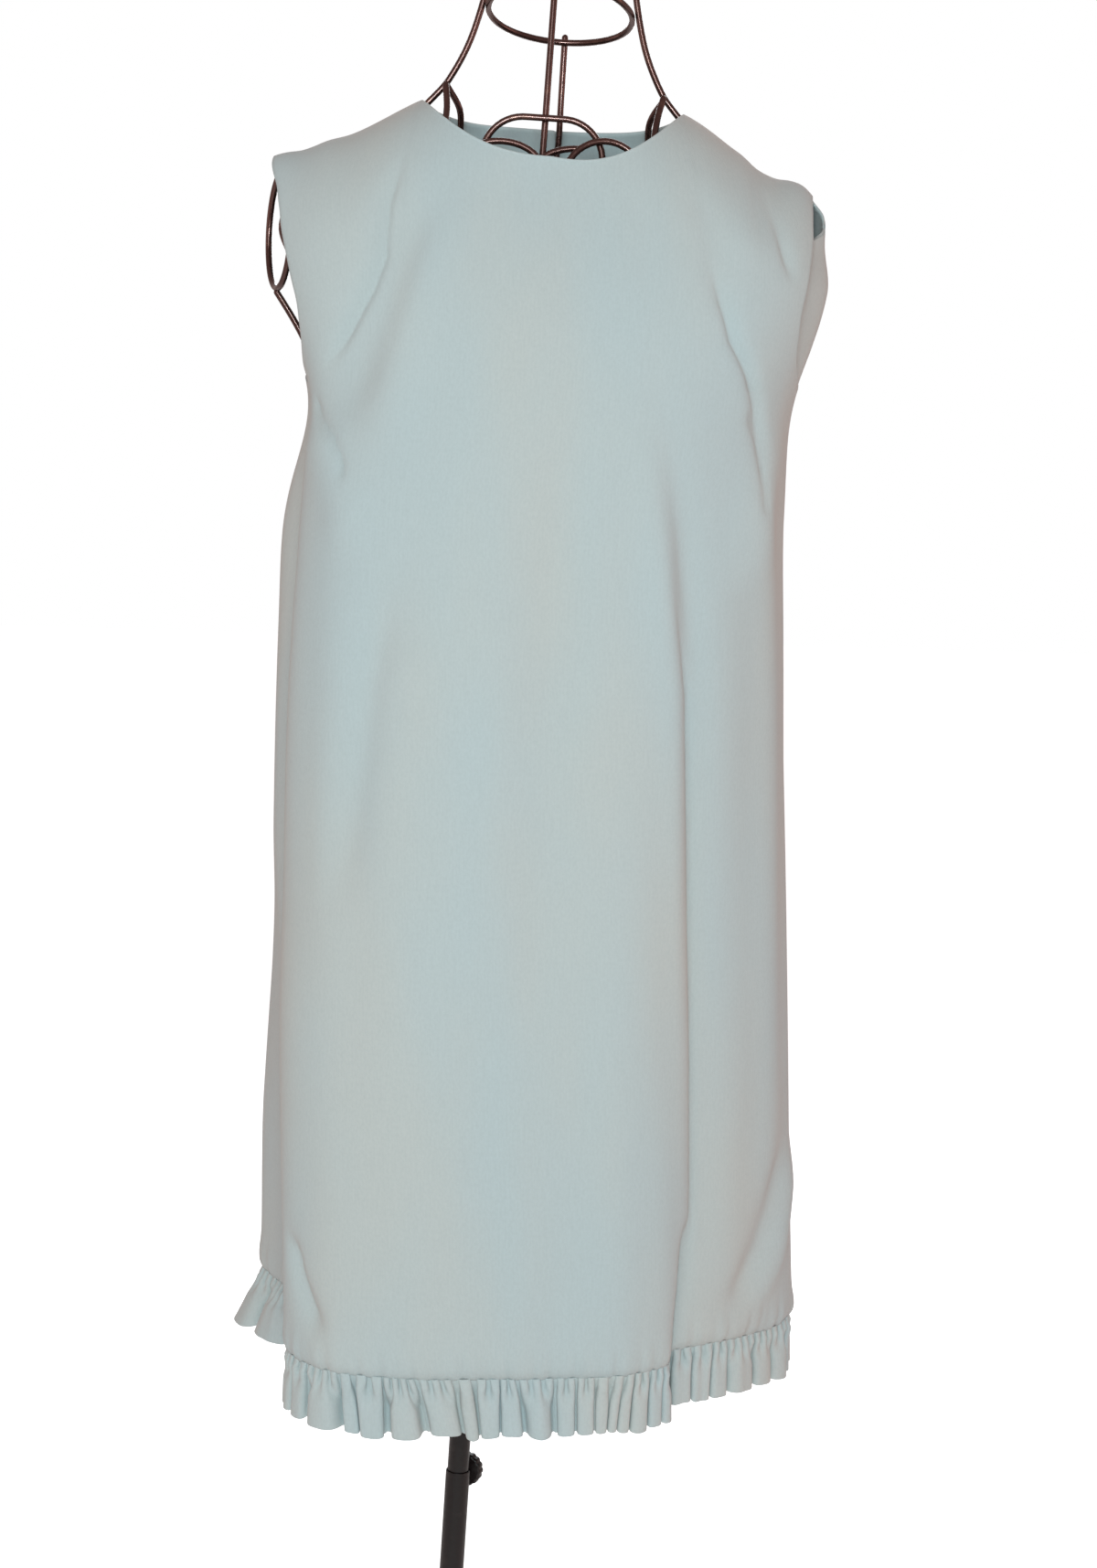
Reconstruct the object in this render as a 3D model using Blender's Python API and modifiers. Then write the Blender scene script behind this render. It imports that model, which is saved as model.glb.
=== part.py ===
"""A sleeveless dress that wraps at the back, with a gathered frill at its hem, on a wire dress form.

Metres, +Z up. The origin is on the floor under the stand's foot. The dress faces -Y, and +X is the wearer's
left. The form and its pole lean a little towards +X, and the cloth hangs plumb from the form's shoulders.
The cloth's surface is worked out from sections at named heights, the plan of the hem and a table of folds.
A bearing is 0 at the front, 90 at +X, 180 at the back and -90 (or 270) at -X.
"""

import math

import bpy
import numpy as np
from mathutils import Matrix, Vector

# ---------------------------------------------------------------- driving dimensions, in metres
CLOTH = 0.0020  # the dress's doubled crepe
FRILL_CLOTH = 0.0012  # the frill's single crepe
SEAM_GAP = 0.0003  # between two pieces at a seam
WIRE = 0.0044  # the form's wire, across
LEAN = 0.0405  # how far the stand leans to +X for each metre of height

HEM_Z = 0.550  # where the frill is sewn on
UNDERARM_Z = 1.195
SHOULDER_TIP_Z = 1.335
NECK_POINT_Z = 1.380
NECK_HALF = 0.087  # neck centre to neck point
SHOULDER_HALF = 0.178  # neck centre to shoulder tip
NECK_CENTRE_X = 0.0600
# The neckline below the neck points: how deep, how square its curve is, and how much more it falls at the +X end.
NECK_FRONT = {"drop": 0.0380, "power": 2.4, "right": 0.0035}
NECK_BACK = {"drop": 0.0088, "power": 5.0, "right": 0.0}
SHOULDER_ROUND = 0.070  # how far below the shoulder line the cloth has turned to hang
SHOULDER_TILT = 0.030  # the shoulder line's fall to +X for each metre
SHOULDER_SAG = {"left": 0.0035, "right": 0.0070}  # and its sag between neck point and tip

FRILL_DROP = 0.0365
FRILL_PITCH = 0.0215  # one gather, along the hem
FRILL_WAVE = 0.0060  # a gather's reach to each side, at the frill's edge
FRILL_FLARE = 0.0015  # how far the frill's edge stands out from the hem
CORNER_FLARE = {"bearing": 239.0, "width": 20.0, "flare": 0.015}  # and more at the left back corner

# Sections of the cloth without its folds. half is at bearings 90 and -90, front and back are depths from
# y = 0, and square is the superellipse's exponent.
BODY_SECTIONS = [
    {"z": 1.400, "centre": 0.0570, "half": 0.193, "front": 0.070, "back": 0.060, "square": 2.6},
    {"z": 1.335, "centre": 0.0560, "half": 0.193, "front": 0.078, "back": 0.072, "square": 2.6},
    {"z": 1.300, "centre": 0.0585, "half": 0.191, "front": 0.090, "back": 0.080, "square": 2.6},
    {"z": 1.265, "centre": 0.0605, "half": 0.187, "front": 0.101, "back": 0.085, "square": 2.6},
    {"z": 1.225, "centre": 0.0610, "half": 0.176, "front": 0.110, "back": 0.088, "square": 2.5},
    {"z": 1.195, "centre": 0.0600, "half": 0.166, "front": 0.114, "back": 0.090, "square": 2.5},
    {"z": 1.110, "centre": 0.0530, "half": 0.167, "front": 0.119, "back": 0.094, "square": 2.5},
    {"z": 1.000, "centre": 0.0515, "half": 0.171, "front": 0.122, "back": 0.100, "square": 2.5},
    {"z": 0.860, "centre": 0.0525, "half": 0.176, "front": 0.126, "back": 0.108, "square": 2.4},
    {"z": HEM_Z, "centre": 0.0600, "half": 0.186, "front": 0.133, "back": 0.125, "square": 2.4},
]

# The plan of the hem: its distance from the section's centre at each bearing.
HEM_PLAN = [
    {"bearing": -132, "radius": 0.203},
    {"bearing": -121, "radius": 0.2215},
    {"bearing": -110, "radius": 0.186},
    {"bearing": -100, "radius": 0.166},
    {"bearing": -90, "radius": 0.158},
    {"bearing": -82, "radius": 0.159},
    {"bearing": -74, "radius": 0.164},
    {"bearing": -66, "radius": 0.175},
    {"bearing": -59, "radius": 0.184},
    {"bearing": -53, "radius": 0.1865},
    {"bearing": -44, "radius": 0.1850},
    {"bearing": -37, "radius": 0.1750},
    {"bearing": -28, "radius": 0.1630},
    {"bearing": -15, "radius": 0.1475},
    {"bearing": -2, "radius": 0.1396},
    {"bearing": 11, "radius": 0.1355},
    {"bearing": 22, "radius": 0.1420},
    {"bearing": 34, "radius": 0.1462},
    {"bearing": 44, "radius": 0.1445},
    {"bearing": 51, "radius": 0.1362},
    {"bearing": 58, "radius": 0.1420},
    {"bearing": 67, "radius": 0.1508},
    {"bearing": 76, "radius": 0.1610},
    {"bearing": 86, "radius": 0.1785},
    {"bearing": 98, "radius": 0.1930},
    {"bearing": 107, "radius": 0.1870},
    {"bearing": 116, "radius": 0.1720},
    {"bearing": 125, "radius": 0.1690},
    {"bearing": 134, "radius": 0.1740},
    {"bearing": 143, "radius": 0.1640},
    {"bearing": 153, "radius": 0.1480},
    {"bearing": 165, "radius": 0.1440},
    {"bearing": 179, "radius": 0.1350},
    {"bearing": 193, "radius": 0.1410},
    {"bearing": 206, "radius": 0.1530},
    {"bearing": 217, "radius": 0.1730},
]
# Folds lean as they go up: a fold at this bearing at the hem points to that one at the underarm.
FOLD_LEAN = [
    {"hem": -121, "underarm": -126},
    {"hem": -86, "underarm": -92},
    {"hem": -58, "underarm": -69},
    {"hem": 0, "underarm": 0},
    {"hem": 51, "underarm": 47},
    {"hem": 100, "underarm": 100},
    {"hem": 170, "underarm": 170},
]
HEM_SPREAD = 0.85  # exponent of how soon the sections take the hem's plan, going down

# Folds that come in just under the arms. width is half a fold in degrees and depth is out (+) or in (-).
FOLDS = [
    {"name": "left side tuck", "bearing": -84, "width": 13, "depth": -0.018, "starts": 1.188, "full": 1.060},
    {"name": "left back ridge", "bearing": -124, "width": 16, "depth": 0.008, "starts": 1.185, "full": 1.020},
    {"name": "left back fall", "bearing": -105, "width": 12, "depth": 0.0125, "starts": 1.192, "full": 1.130},
    {"name": "left back fall's end", "bearing": -108, "width": 12, "depth": -0.010, "starts": 0.980, "full": 0.600},
]

# The side seams' bearings, and how far each panel's armhole edge stops short of them.
SIDE_SEAM = {"left_top": -90.0, "left_hem": -88.0, "right_top": 90.0, "right_hem": 96.0}
ARMHOLE_CUT = [
    {"z": 1.345, "front": 12.0, "back_left": 12.0, "back_right": 12.0},
    {"z": 1.326, "front": 13.8, "back_left": 14.5, "back_right": 11.0},
    {"z": 1.311, "front": 15.0, "back_left": 16.8, "back_right": 8.4},
    {"z": 1.294, "front": 16.1, "back_left": 18.0, "back_right": 7.1},
    {"z": 1.272, "front": 18.0, "back_left": 19.3, "back_right": 6.2},
    {"z": 1.248, "front": 19.5, "back_left": 20.0, "back_right": 5.2},
    {"z": 1.225, "front": 18.6, "back_left": 19.5, "back_right": 5.4},
    {"z": 1.195, "front": 18.4, "back_left": 19.0, "back_right": 6.5},
]
ARMHOLE_ROUND = 0.030  # the height above the underarm in which the armhole's foot rounds out

# The wrap: where the outer and inner back panels end, as bearings at the neck and at the hem.
OUTER_EDGE = {"neck": 197.0, "hem": 222.0}
INNER_EDGE = {"neck": 176.0, "hem": 138.0}
LAP_GAP = {"neck": 0.0050, "hem": 0.0215}  # how far the inner panel lies inside the outer
LAP_RAMP = 22.0  # bearing over which the inner panel moves in

# The wire form, upright on its own axis: half is its width at a height, front and back its depths.
FORM_SECTIONS = [
    {"z": 1.492, "half": 0.044, "front": 0.042, "back": 0.042},
    {"z": 1.450, "half": 0.051, "front": 0.048, "back": 0.046},
    {"z": 1.415, "half": 0.061, "front": 0.051, "back": 0.047},
    {"z": 1.392, "half": 0.073, "front": 0.053, "back": 0.048},
    {"z": 1.340, "half": 0.110, "front": 0.058, "back": 0.055},
    {"z": 1.260, "half": 0.143, "front": 0.082, "back": 0.068},
    {"z": 1.180, "half": 0.142, "front": 0.100, "back": 0.074},
    {"z": 1.110, "half": 0.122, "front": 0.092, "back": 0.070},
    {"z": 1.030, "half": 0.105, "front": 0.080, "back": 0.066},
    {"z": 0.940, "half": 0.110, "front": 0.084, "back": 0.072},
    {"z": 0.880, "half": 0.113, "front": 0.086, "back": 0.074},
]
RING_STEPS = 20
RINGS = [
    {"name": "ring_top", "front_z": 1.488, "back_z": 1.488},
    {"name": "ring_neck", "front_z": 1.458, "back_z": 1.430},
    {"name": "ring_bust", "front_z": 1.180, "back_z": 1.180},
    {"name": "ring_waist", "front_z": 1.030, "back_z": 1.030},
    {"name": "ring_bottom", "front_z": 0.890, "back_z": 0.890},
]
NECK_TURN = {"z": 1.300, "full": 1.370, "shift": 0.005, "turn": 0.085}  # the form's neck, moved and turned to +X
NECK_JOINT_Z = 1.392  # where the princess wires leave the neck's side wires
PRINCESS_BEARING = 36.0
BACK_IN = 0.006  # the back princess wires are this much nearer the centre below their joint
PRINCESS_TOPS = [
    {"z": 1.392, "x": 0.0725, "front": 0.0048, "back": 0.0048},
    {"z": 1.378, "x": 0.0700, "front": 0.0110, "back": 0.0095},
    {"z": 1.360, "x": 0.0695, "front": 0.0220, "back": 0.0180},
    {"z": 1.335, "x": 0.0715, "front": 0.0370, "back": 0.0290},
    {"z": 1.300, "x": 0.0770, "front": 0.0540, "back": 0.0420},
]
CENTRE_TOPS = [1.368, 1.350, 1.332, 1.312, 1.288]
WIRE_HEIGHTS = [1.262, 1.220, 1.180, 1.130, 1.080, 1.030, 0.985, 0.935, 0.890, 0.885]
ARMHOLE_RING = {"x": 0.1729, "z": 1.290, "half_depth": 0.029, "half_height": 0.039, "turn": 0.36}
ARMHOLE_CURL = {"depth": 0.022, "top": 0.018, "bottom": -0.014}

ARCH = {"half": 0.039, "top_z": 1.3685, "corner": 0.026, "foot_z": 1.322}
ORNAMENT_BEND = 0.9  # the ornament falls back by this times x squared
SCROLLS = [
    {"name": "scroll_left", "x": -0.0278, "z": 1.3334, "half": 0.0285, "tall": 0.0195, "start": 10, "turns": 1.00},
    {"name": "scroll_right", "x": 0.0422, "z": 1.3305, "half": 0.0285, "tall": 0.0285, "start": 215, "turns": -1.05},
    {"name": "scroll_centre", "x": 0.0234, "z": 1.3378, "half": 0.0275, "tall": 0.0125, "start": 88, "turns": 0.75},
]

POLE = {"radius": 0.0075, "top_z": 1.045}
SLEEVE = {"radius": 0.0085, "bore": 0.0078, "top_z": 0.436, "bore_depth": 0.080}
KNOB = {"radius": 0.0120, "thickness": 0.0080, "stem_radius": 0.0030, "stem": 0.0040, "z": 0.4315, "bearing": 160.0}
SOCKET = {"radius": 0.0120, "bore": 0.0078, "height": 0.030}
SPOKE_HEIGHTS = {"waist": 1.030, "bottom": 0.890}
BASE = {"radius": 0.150, "thickness": 0.012, "edge": 0.004, "boss_radius": 0.022, "boss_top": 0.034, "bore": 0.0088}

BUTTON = {"radius": 0.0075, "thickness": 0.0040}

# ---------------------------------------------------------------- mesh fineness
COLUMNS = {"dress_front": 30, "dress_back_outer": 20, "dress_back_inner": 20}
SHARES_ABOVE = [0.0, 0.015, 0.06, 0.14, 0.26, 0.41, 0.57, 0.73, 0.86, 0.95, 1.0]  # top edge to underarm
ROWS_BELOW = 8
PER_GATHER = 4
FRILL_ROWS = 2

COLOURS = {
    "crepe": ((0.47, 0.55, 0.56), 0.75, 0.0),
    "wire": ((0.060, 0.028, 0.022), 0.32, 0.85),
    "pole": ((0.006, 0.004, 0.004), 0.40, 0.30),
    "knob": ((0.010, 0.005, 0.005), 0.45, 0.0),
}


# ---------------------------------------------------------------- small tools
def smooth(t):
    """0 to 1 with flat ends, for t from 0 to 1."""
    t = np.clip(t, 0.0, 1.0)
    return t * t * (3.0 - 2.0 * t)


def through(places, values, at):
    """A smooth curve through values at rising places, read at `at`."""
    slopes = np.gradient(values, places)
    at = np.clip(at, places[0], places[-1])
    i = np.clip(np.searchsorted(places, at) - 1, 0, len(places) - 2)
    step = places[i + 1] - places[i]
    t = (at - places[i]) / step
    return (
        (1 + 2 * t) * (1 - t) ** 2 * values[i]
        + t * (1 - t) ** 2 * step * slopes[i]
        + t * t * (3 - 2 * t) * values[i + 1]
        - t * t * (1 - t) * step * slopes[i + 1]
    )


def by_height(table, column, z):
    """A column of a table of sections at heights z."""
    heights = np.array([row["z"] for row in table])[::-1]
    return through(heights, np.array([row[column] for row in table])[::-1], z)


def round_plan(table, key, value, at):
    """A column of a table of bearings, closed into a ring, at the bearings `at`."""
    keys = np.array([row[key] for row in table], float)
    values = np.array([row[value] for row in table], float)
    keys = np.concatenate([keys - 360, keys, keys + 360])
    return through(keys, np.tile(values, 3), (at + 180.0) % 360.0 - 180.0)


def material(name):
    (red, green, blue), roughness, metallic = COLOURS[name]
    made = bpy.data.materials.new(name)
    made.use_nodes = True
    shader = made.node_tree.nodes["Principled BSDF"]
    shader.inputs["Base Color"].default_value = (red, green, blue, 1.0)
    shader.inputs["Roughness"].default_value = roughness
    shader.inputs["Metallic"].default_value = metallic
    return made


def leaned(points):
    """Points of the upright form, tilted with the stand about its foot."""
    points = np.asarray(points, float)
    angle = math.atan(LEAN)
    cosine, sine = math.cos(angle), math.sin(angle)
    x, y, z = points[..., 0], points[..., 1], points[..., 2]
    return np.stack([x * cosine + z * sine, y, z * cosine - x * sine], axis=-1)


def on_axis(z):
    """The place of a turned piece at a height of the stand's own axis."""
    return Matrix.Rotation(math.atan(LEAN), 4, "Y") @ Matrix.Translation((0.0, 0.0, z))


# ---------------------------------------------------------------- the cloth's surface
def shoulder_line(x):
    """Height of the shoulder seam, and of its run across the neck, at x."""
    across = x - NECK_CENTRE_X
    along = (np.abs(across) - NECK_HALF) / (SHOULDER_HALF - NECK_HALF)
    fall = (NECK_POINT_Z - SHOULDER_TIP_Z) * along + SHOULDER_TILT * across
    sag = np.where(across < 0, SHOULDER_SAG["left"], SHOULDER_SAG["right"])
    return NECK_POINT_Z - fall - sag * np.sin(np.pi * np.clip(along, 0.0, 1.0)) ** 2


def down_share(z):
    """0 at the underarm and 1 at the hem."""
    return np.clip((UNDERARM_Z - z) / (UNDERARM_Z - HEM_Z), 0.0, 1.0)


def cloth_radius(bearing, z):
    """The cloth's distance from the section's centre: a superellipse that turns into the hem's plan."""
    turn = np.radians(bearing)
    sine, cosine = np.abs(np.sin(turn)), np.cos(turn)
    square = by_height(BODY_SECTIONS, "square", z)
    half = by_height(BODY_SECTIONS, "half", z)
    depth = np.where(cosine > 0, by_height(BODY_SECTIONS, "front", z), by_height(BODY_SECTIONS, "back", z))
    plain = ((sine / half) ** square + (np.abs(cosine) / depth) ** square) ** (-1.0 / square)
    down = down_share(z)
    shift = [{"at": row["underarm"], "by": row["hem"] - row["underarm"]} for row in FOLD_LEAN]
    hem_bearing = bearing + (1.0 - down) * round_plan(shift, "at", "by", bearing)
    hem = round_plan(HEM_PLAN, "bearing", "radius", hem_bearing)
    radius = plain + (hem - plain) * down**HEM_SPREAD
    for fold in FOLDS:
        away = (bearing - fold["bearing"] + 180.0) % 360.0 - 180.0
        strength = smooth((fold["starts"] - z) / (fold["starts"] - fold["full"]))
        radius = radius + fold["depth"] * strength * np.exp(-((away / fold["width"]) ** 2))
    return radius


def cloth_point(bearing, z, inward=0.0):
    """The middle of the cloth at a bearing and a height, moved inward. Near the top the cloth turns over to
    the shoulder line, in a quarter of a round."""
    bearing, z = np.broadcast_arrays(np.asarray(bearing, float), np.asarray(z, float))
    turn = np.radians(bearing)
    radius = cloth_radius(bearing, z) - inward
    x = by_height(BODY_SECTIONS, "centre", z) + radius * np.sin(turn)
    below = np.clip((shoulder_line(x) - z) / SHOULDER_ROUND, 0.0, 1.0)
    y = -radius * np.cos(turn) * np.sqrt(1.0 - (1.0 - below) ** 2)
    return np.stack([x, y, z], axis=-1)


def armhole_cut(edge, z):
    """How far a panel's armhole edge stops short of the side seam, in degrees: the table's value, rounded out
    above the underarm in a quarter of a round."""
    up = np.clip((z - UNDERARM_Z) / ARMHOLE_ROUND, 0.0, 1.0)
    return by_height(ARMHOLE_CUT, edge, z) * np.sqrt(1.0 - (1.0 - up) ** 2)


def neckline(x, neck):
    """Height of the neckline at x: lowest at the centre, and the neck points' height at its ends."""
    across = np.clip((x - NECK_CENTRE_X) / NECK_HALF, -1.0, 1.0)
    fall = neck["drop"] * (1.0 - np.abs(across) ** neck["power"])
    return NECK_POINT_Z - SHOULDER_TILT * (x - NECK_CENTRE_X) - fall - neck["right"] * np.sin(
        np.pi * np.clip(across, 0.0, 1.0)
    )


def top_height(bearing_at, neck):
    """Height of a panel's top edge in each column: the neckline within the neck points, the shoulder beyond.
    bearing_at gives the columns' bearings at a height, and the height is found by going back and forth."""
    z = np.full(len(bearing_at(1.3)), 1.36)
    for _ in range(40):
        x = cloth_point(bearing_at(z), z)[:, 0]
        inside = np.abs(x - NECK_CENTRE_X) < NECK_HALF
        z = 0.5 * z + 0.5 * np.where(inside, neckline(x, neck), shoulder_line(x))
    return z


def side_bearing(side, z):
    """Bearing of a side seam at height z."""
    down = down_share(z)
    return SIDE_SEAM[side + "_top"] + (SIDE_SEAM[side + "_hem"] - SIDE_SEAM[side + "_top"]) * down


def front_bearing(share, z):
    """Bearing at a share across the front, from the left side seam (0) to the right one (1)."""
    left = side_bearing("left", z) + armhole_cut("front", z)
    right = side_bearing("right", z) - armhole_cut("front", z)
    return left + (right - left) * share


def lap_bearing(edge, z):
    """Where a back panel's free edge is at height z, on a line from the neck to the hem."""
    down = np.clip((NECK_POINT_Z - z) / (NECK_POINT_Z - HEM_Z), 0.0, 1.0)
    return edge["neck"] + (edge["hem"] - edge["neck"]) * down


def outer_bearing(share, z):
    """Bearing at a share across the outer back, from the right side seam (0) to its free edge (1)."""
    start = side_bearing("right", z) + armhole_cut("back_right", z)
    return start + (lap_bearing(OUTER_EDGE, z) - start) * share


def inner_bearing(share, z):
    """Bearing at a share across the inner back, from the left side seam (0) to its free edge (1)."""
    start = 360.0 + side_bearing("left", z) - armhole_cut("back_left", z)
    return start + (lap_bearing(INNER_EDGE, z) - start) * share


def no_inset(bearing, z):
    return np.zeros(np.shape(bearing))


def inner_inset(bearing, z):
    """How far the inner back lies inside the surface: nothing at the side, the lap's gap under the outer."""
    down = np.clip((NECK_POINT_Z - z) / (NECK_POINT_Z - HEM_Z), 0.0, 1.0)
    gap = LAP_GAP["neck"] + (LAP_GAP["hem"] - LAP_GAP["neck"]) * down
    start = lap_bearing(OUTER_EDGE, z) + LAP_RAMP
    return gap * smooth((start - bearing) / (LAP_RAMP * 0.75))


# ---------------------------------------------------------------- making meshes
def add(name, data, finish):
    made = bpy.data.objects.new(name, data)
    PARTS.objects.link(made)
    data.materials.append(finish)
    return made


def shell(name, grid, thickness, finish):
    """A cloth wall of a thickness about a grid of points, rows down by columns across."""
    rows, columns = grid.shape[:2]
    faces = []
    for row in range(rows - 1):
        for column in range(columns - 1):
            first = row * columns + column
            faces.append((first, first + columns, first + columns + 1, first + 1))
    mesh = bpy.data.meshes.new(name)
    mesh.from_pydata([Vector(p) for p in grid.reshape(-1, 3)], [], faces)
    made = add(name, mesh, finish)
    wall = made.modifiers.new("Wall", "SOLIDIFY")
    wall.thickness = thickness
    wall.offset = 0.0
    wall.use_rim = True
    return made


def hem_line(bearing, inset, trim):
    """The panel's hem as points close together, with trim taken off each end, and its length."""
    fine = np.linspace(0.0, 1.0, 2400)
    bearings = bearing(fine, HEM_Z)
    line = cloth_point(bearings, HEM_Z, inset(bearings, HEM_Z))
    walked = np.concatenate([[0], np.cumsum(np.linalg.norm(np.diff(line, axis=0), axis=1))])
    return fine, line, walked


def panel(name, bearing, neck, finish, inset=no_inset, flip=False, lapped=True):
    """A body panel: rows from its top edge to the hem, columns evenly spaced along the hem."""
    columns = COLUMNS[name]
    fine, _, walked = hem_line(bearing, inset, 0.0)
    ends = (SEAM_GAP * 1.3, walked[-1] if lapped else walked[-1] - SEAM_GAP * 1.3)
    shares = np.interp(np.linspace(*ends, columns + 1), walked, fine)
    top = top_height(lambda z: bearing(shares, z), neck)
    below = np.linspace(UNDERARM_Z, HEM_Z, ROWS_BELOW + 1)[1:]
    heights = [top + (UNDERARM_Z - top) * share for share in SHARES_ABOVE]
    heights += [np.full(columns + 1, z) for z in below]
    grid = []
    for z in heights:
        bearings = bearing(shares, z)
        grid.append(cloth_point(bearings, z, inset(bearings, z)))
    grid = np.array(grid)
    # the shoulder seam's gap: the top edge stands back from y = 0
    grid[0, :, 1] += np.where(grid[1, :, 1] > 0, 1, -1) * SEAM_GAP * 0.8
    return shell(name, grid[:, ::-1] if flip else grid, CLOTH, finish)


def frill(name, bearing, finish, inset=no_inset, flip=False):
    """The gathered strip under a panel: its line is the panel's hem, in waves that grow to its edge."""
    _, line, walked = hem_line(bearing, inset, 0.0)
    gathers = max(2, round(walked[-1] / FRILL_PITCH))
    count = gathers * PER_GATHER + 1
    along = np.linspace(0.0018, walked[-1] - 0.0018, count)
    place = bearing(np.interp(along, walked, np.linspace(0.0, 1.0, len(walked))), HEM_Z)
    away = (place - CORNER_FLARE["bearing"] + 180.0) % 360.0 - 180.0
    flare = FRILL_FLARE + CORNER_FLARE["flare"] * np.exp(-((away / CORNER_FLARE["width"]) ** 2))
    base = np.stack([np.interp(along, walked, line[:, k]) for k in range(3)], axis=-1)
    ahead = np.stack([np.interp(along + 0.004, walked, line[:, k]) for k in range(3)], axis=-1)
    behind = np.stack([np.interp(along - 0.004, walked, line[:, k]) for k in range(3)], axis=-1)
    run = ahead - behind
    run /= np.linalg.norm(run, axis=1)[:, None]
    out = np.stack([run[:, 1], -run[:, 0], np.zeros(count)], axis=-1) * (-1.0 if flip else 1.0)
    wave = np.sin(np.arange(count) * 2 * math.pi / PER_GATHER)
    grid = []
    for row in range(FRILL_ROWS + 1):
        down = row / FRILL_ROWS
        reach = flare * down + FRILL_WAVE * (0.16 + 0.84 * down) * wave
        ring = base + out * reach[:, None]
        ring[:, 2] = HEM_Z - SEAM_GAP - FRILL_DROP * down
        grid.append(ring)
    grid = np.array(grid)
    return shell(name, grid[:, ::-1] if flip else grid, FRILL_CLOTH, finish)


def wire(name, points, finish, closed=False, radius=WIRE / 2):
    """A round wire along points."""
    data = bpy.data.curves.new(name, "CURVE")
    data.dimensions = "3D"
    data.bevel_depth = radius
    data.bevel_resolution = 1
    data.use_fill_caps = True
    spline = data.splines.new("POLY")
    spline.points.add(len(points) - 1)
    for point, place in zip(spline.points, points):
        point.co = (*place, 1.0)
    spline.use_cyclic_u = closed
    return add(name, data, finish)


def turned(name, profile, finish, place, segments=20):
    """A turned piece about its local Z, from a profile of (radius, height) that goes up its outer side."""
    mesh = bpy.data.meshes.new(name)
    points = [(radius, 0.0, height) for radius, height in profile]
    mesh.from_pydata(points, [(i, i + 1) for i in range(len(points) - 1)], [])
    made = add(name, mesh, finish)
    made.matrix_world = place
    screw = made.modifiers.new("Turn", "SCREW")
    screw.steps = screw.render_steps = segments
    screw.use_merge_vertices = True
    screw.merge_threshold = 0.00005
    screw.use_normal_flip = True
    return made


def cut(made, tool, operation):
    change = made.modifiers.new(operation.title(), "BOOLEAN")
    change.operation = operation
    change.solver = "EXACT"
    change.object = tool
    tool.hide_render = True
    tool.display_type = "WIRE"


# ---------------------------------------------------------------- the wire form
def neck_turned(points):
    """Points of the upright form, its neck moved to +X, more at the back than at the front."""
    x, y, z = points[..., 0], points[..., 1], points[..., 2]
    share = smooth((z - NECK_TURN["z"]) / (NECK_TURN["full"] - NECK_TURN["z"]))
    return np.stack([x + share * (NECK_TURN["shift"] + NECK_TURN["turn"] * y), y, z], axis=-1)


def form_point(bearing, z, out=0.0):
    """A point of the upright form's surface, moved outwards."""
    bearing, z = np.broadcast_arrays(np.asarray(bearing, float), np.asarray(z, float))
    turn = np.radians(bearing)
    half = by_height(FORM_SECTIONS, "half", z) + out
    front = by_height(FORM_SECTIONS, "front", z) + out
    back = by_height(FORM_SECTIONS, "back", z) + out
    depth = np.where(np.cos(turn) > 0, front, back)
    return neck_turned(np.stack([half * np.sin(turn), -depth * np.cos(turn), z], axis=-1))


def form_ring(row, finish):
    """A ring inside the upright wires, level or tilted from front to back."""
    bearings = np.arange(RING_STEPS) * 360.0 / RING_STEPS
    share = 0.5 - 0.5 * np.cos(np.radians(bearings))
    z = row["front_z"] + (row["back_z"] - row["front_z"]) * share
    wire(row["name"], leaned(form_point(bearings, z, -(WIRE + SEAM_GAP))), finish, closed=True)


def armhole_points(side, angles):
    """Points of an armhole's ring: an ellipse that stands front to back and is turned a little."""
    ring = ARMHOLE_RING
    y = ring["half_depth"] * np.sin(angles)
    z = ring["z"] + ring["half_height"] * np.cos(angles)
    return leaned(np.stack([side * (ring["x"] + ring["turn"] * y), y, z], axis=-1))


def shoulder_wire(name, side, finish):
    """Down the neck's side from the top ring, then out under the shoulder seam to the armhole's ring."""
    neck = leaned(form_point(90.0 * side, np.array([1.494, 1.470, 1.445, 1.420, NECK_JOINT_Z])))
    under = CLOTH / 2 + WIRE / 2 + SEAM_GAP * 7
    ring_top = armhole_points(side, np.zeros(1))[0]
    first = NECK_CENTRE_X + side * (NECK_HALF + 0.001)
    last = ring_top[0] - side * (WIRE / 2 + SEAM_GAP * 3)
    x = np.linspace(first, last, 8)
    seam = np.stack([x, np.zeros(8), shoulder_line(x) - under], axis=-1)
    wire(name, np.concatenate([neck, seam]), finish)


def main_wires(finish):
    """The centre wires, the princess wires, the shoulder wires and the side wires with the armholes' rings."""
    lower = np.array(WIRE_HEIGHTS)
    centre = np.concatenate([[1.385], CENTRE_TOPS, lower])
    front = np.concatenate([[1.494, 1.470, 1.445, 1.420], centre])
    wire("wire_front_centre", leaned(form_point(0.0, front)), finish)
    back = np.concatenate([[RINGS[1]["back_z"] + 0.004, 1.412], centre])
    wire("wire_back_centre", leaned(form_point(180.0, back)), finish)
    for side, word in ((-1, "left"), (1, "right")):
        for depth, bearing in (("front", PRINCESS_BEARING), ("back", 180.0 - PRINCESS_BEARING)):
            facing = -1 if depth == "front" else 1
            inner = [0.0 if depth == "front" or row["z"] > 1.385 else BACK_IN for row in PRINCESS_TOPS]
            top = [[side * (row["x"] - b), facing * row[depth], row["z"]] for row, b in zip(PRINCESS_TOPS, inner)]
            points = np.concatenate([neck_turned(np.array(top)), form_point(side * bearing, lower)])
            wire(f"wire_{depth}_{word}", leaned(points), finish)
        shoulder_wire(f"wire_shoulder_{word}", side, finish)
        side_wire(word, side, finish)


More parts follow.
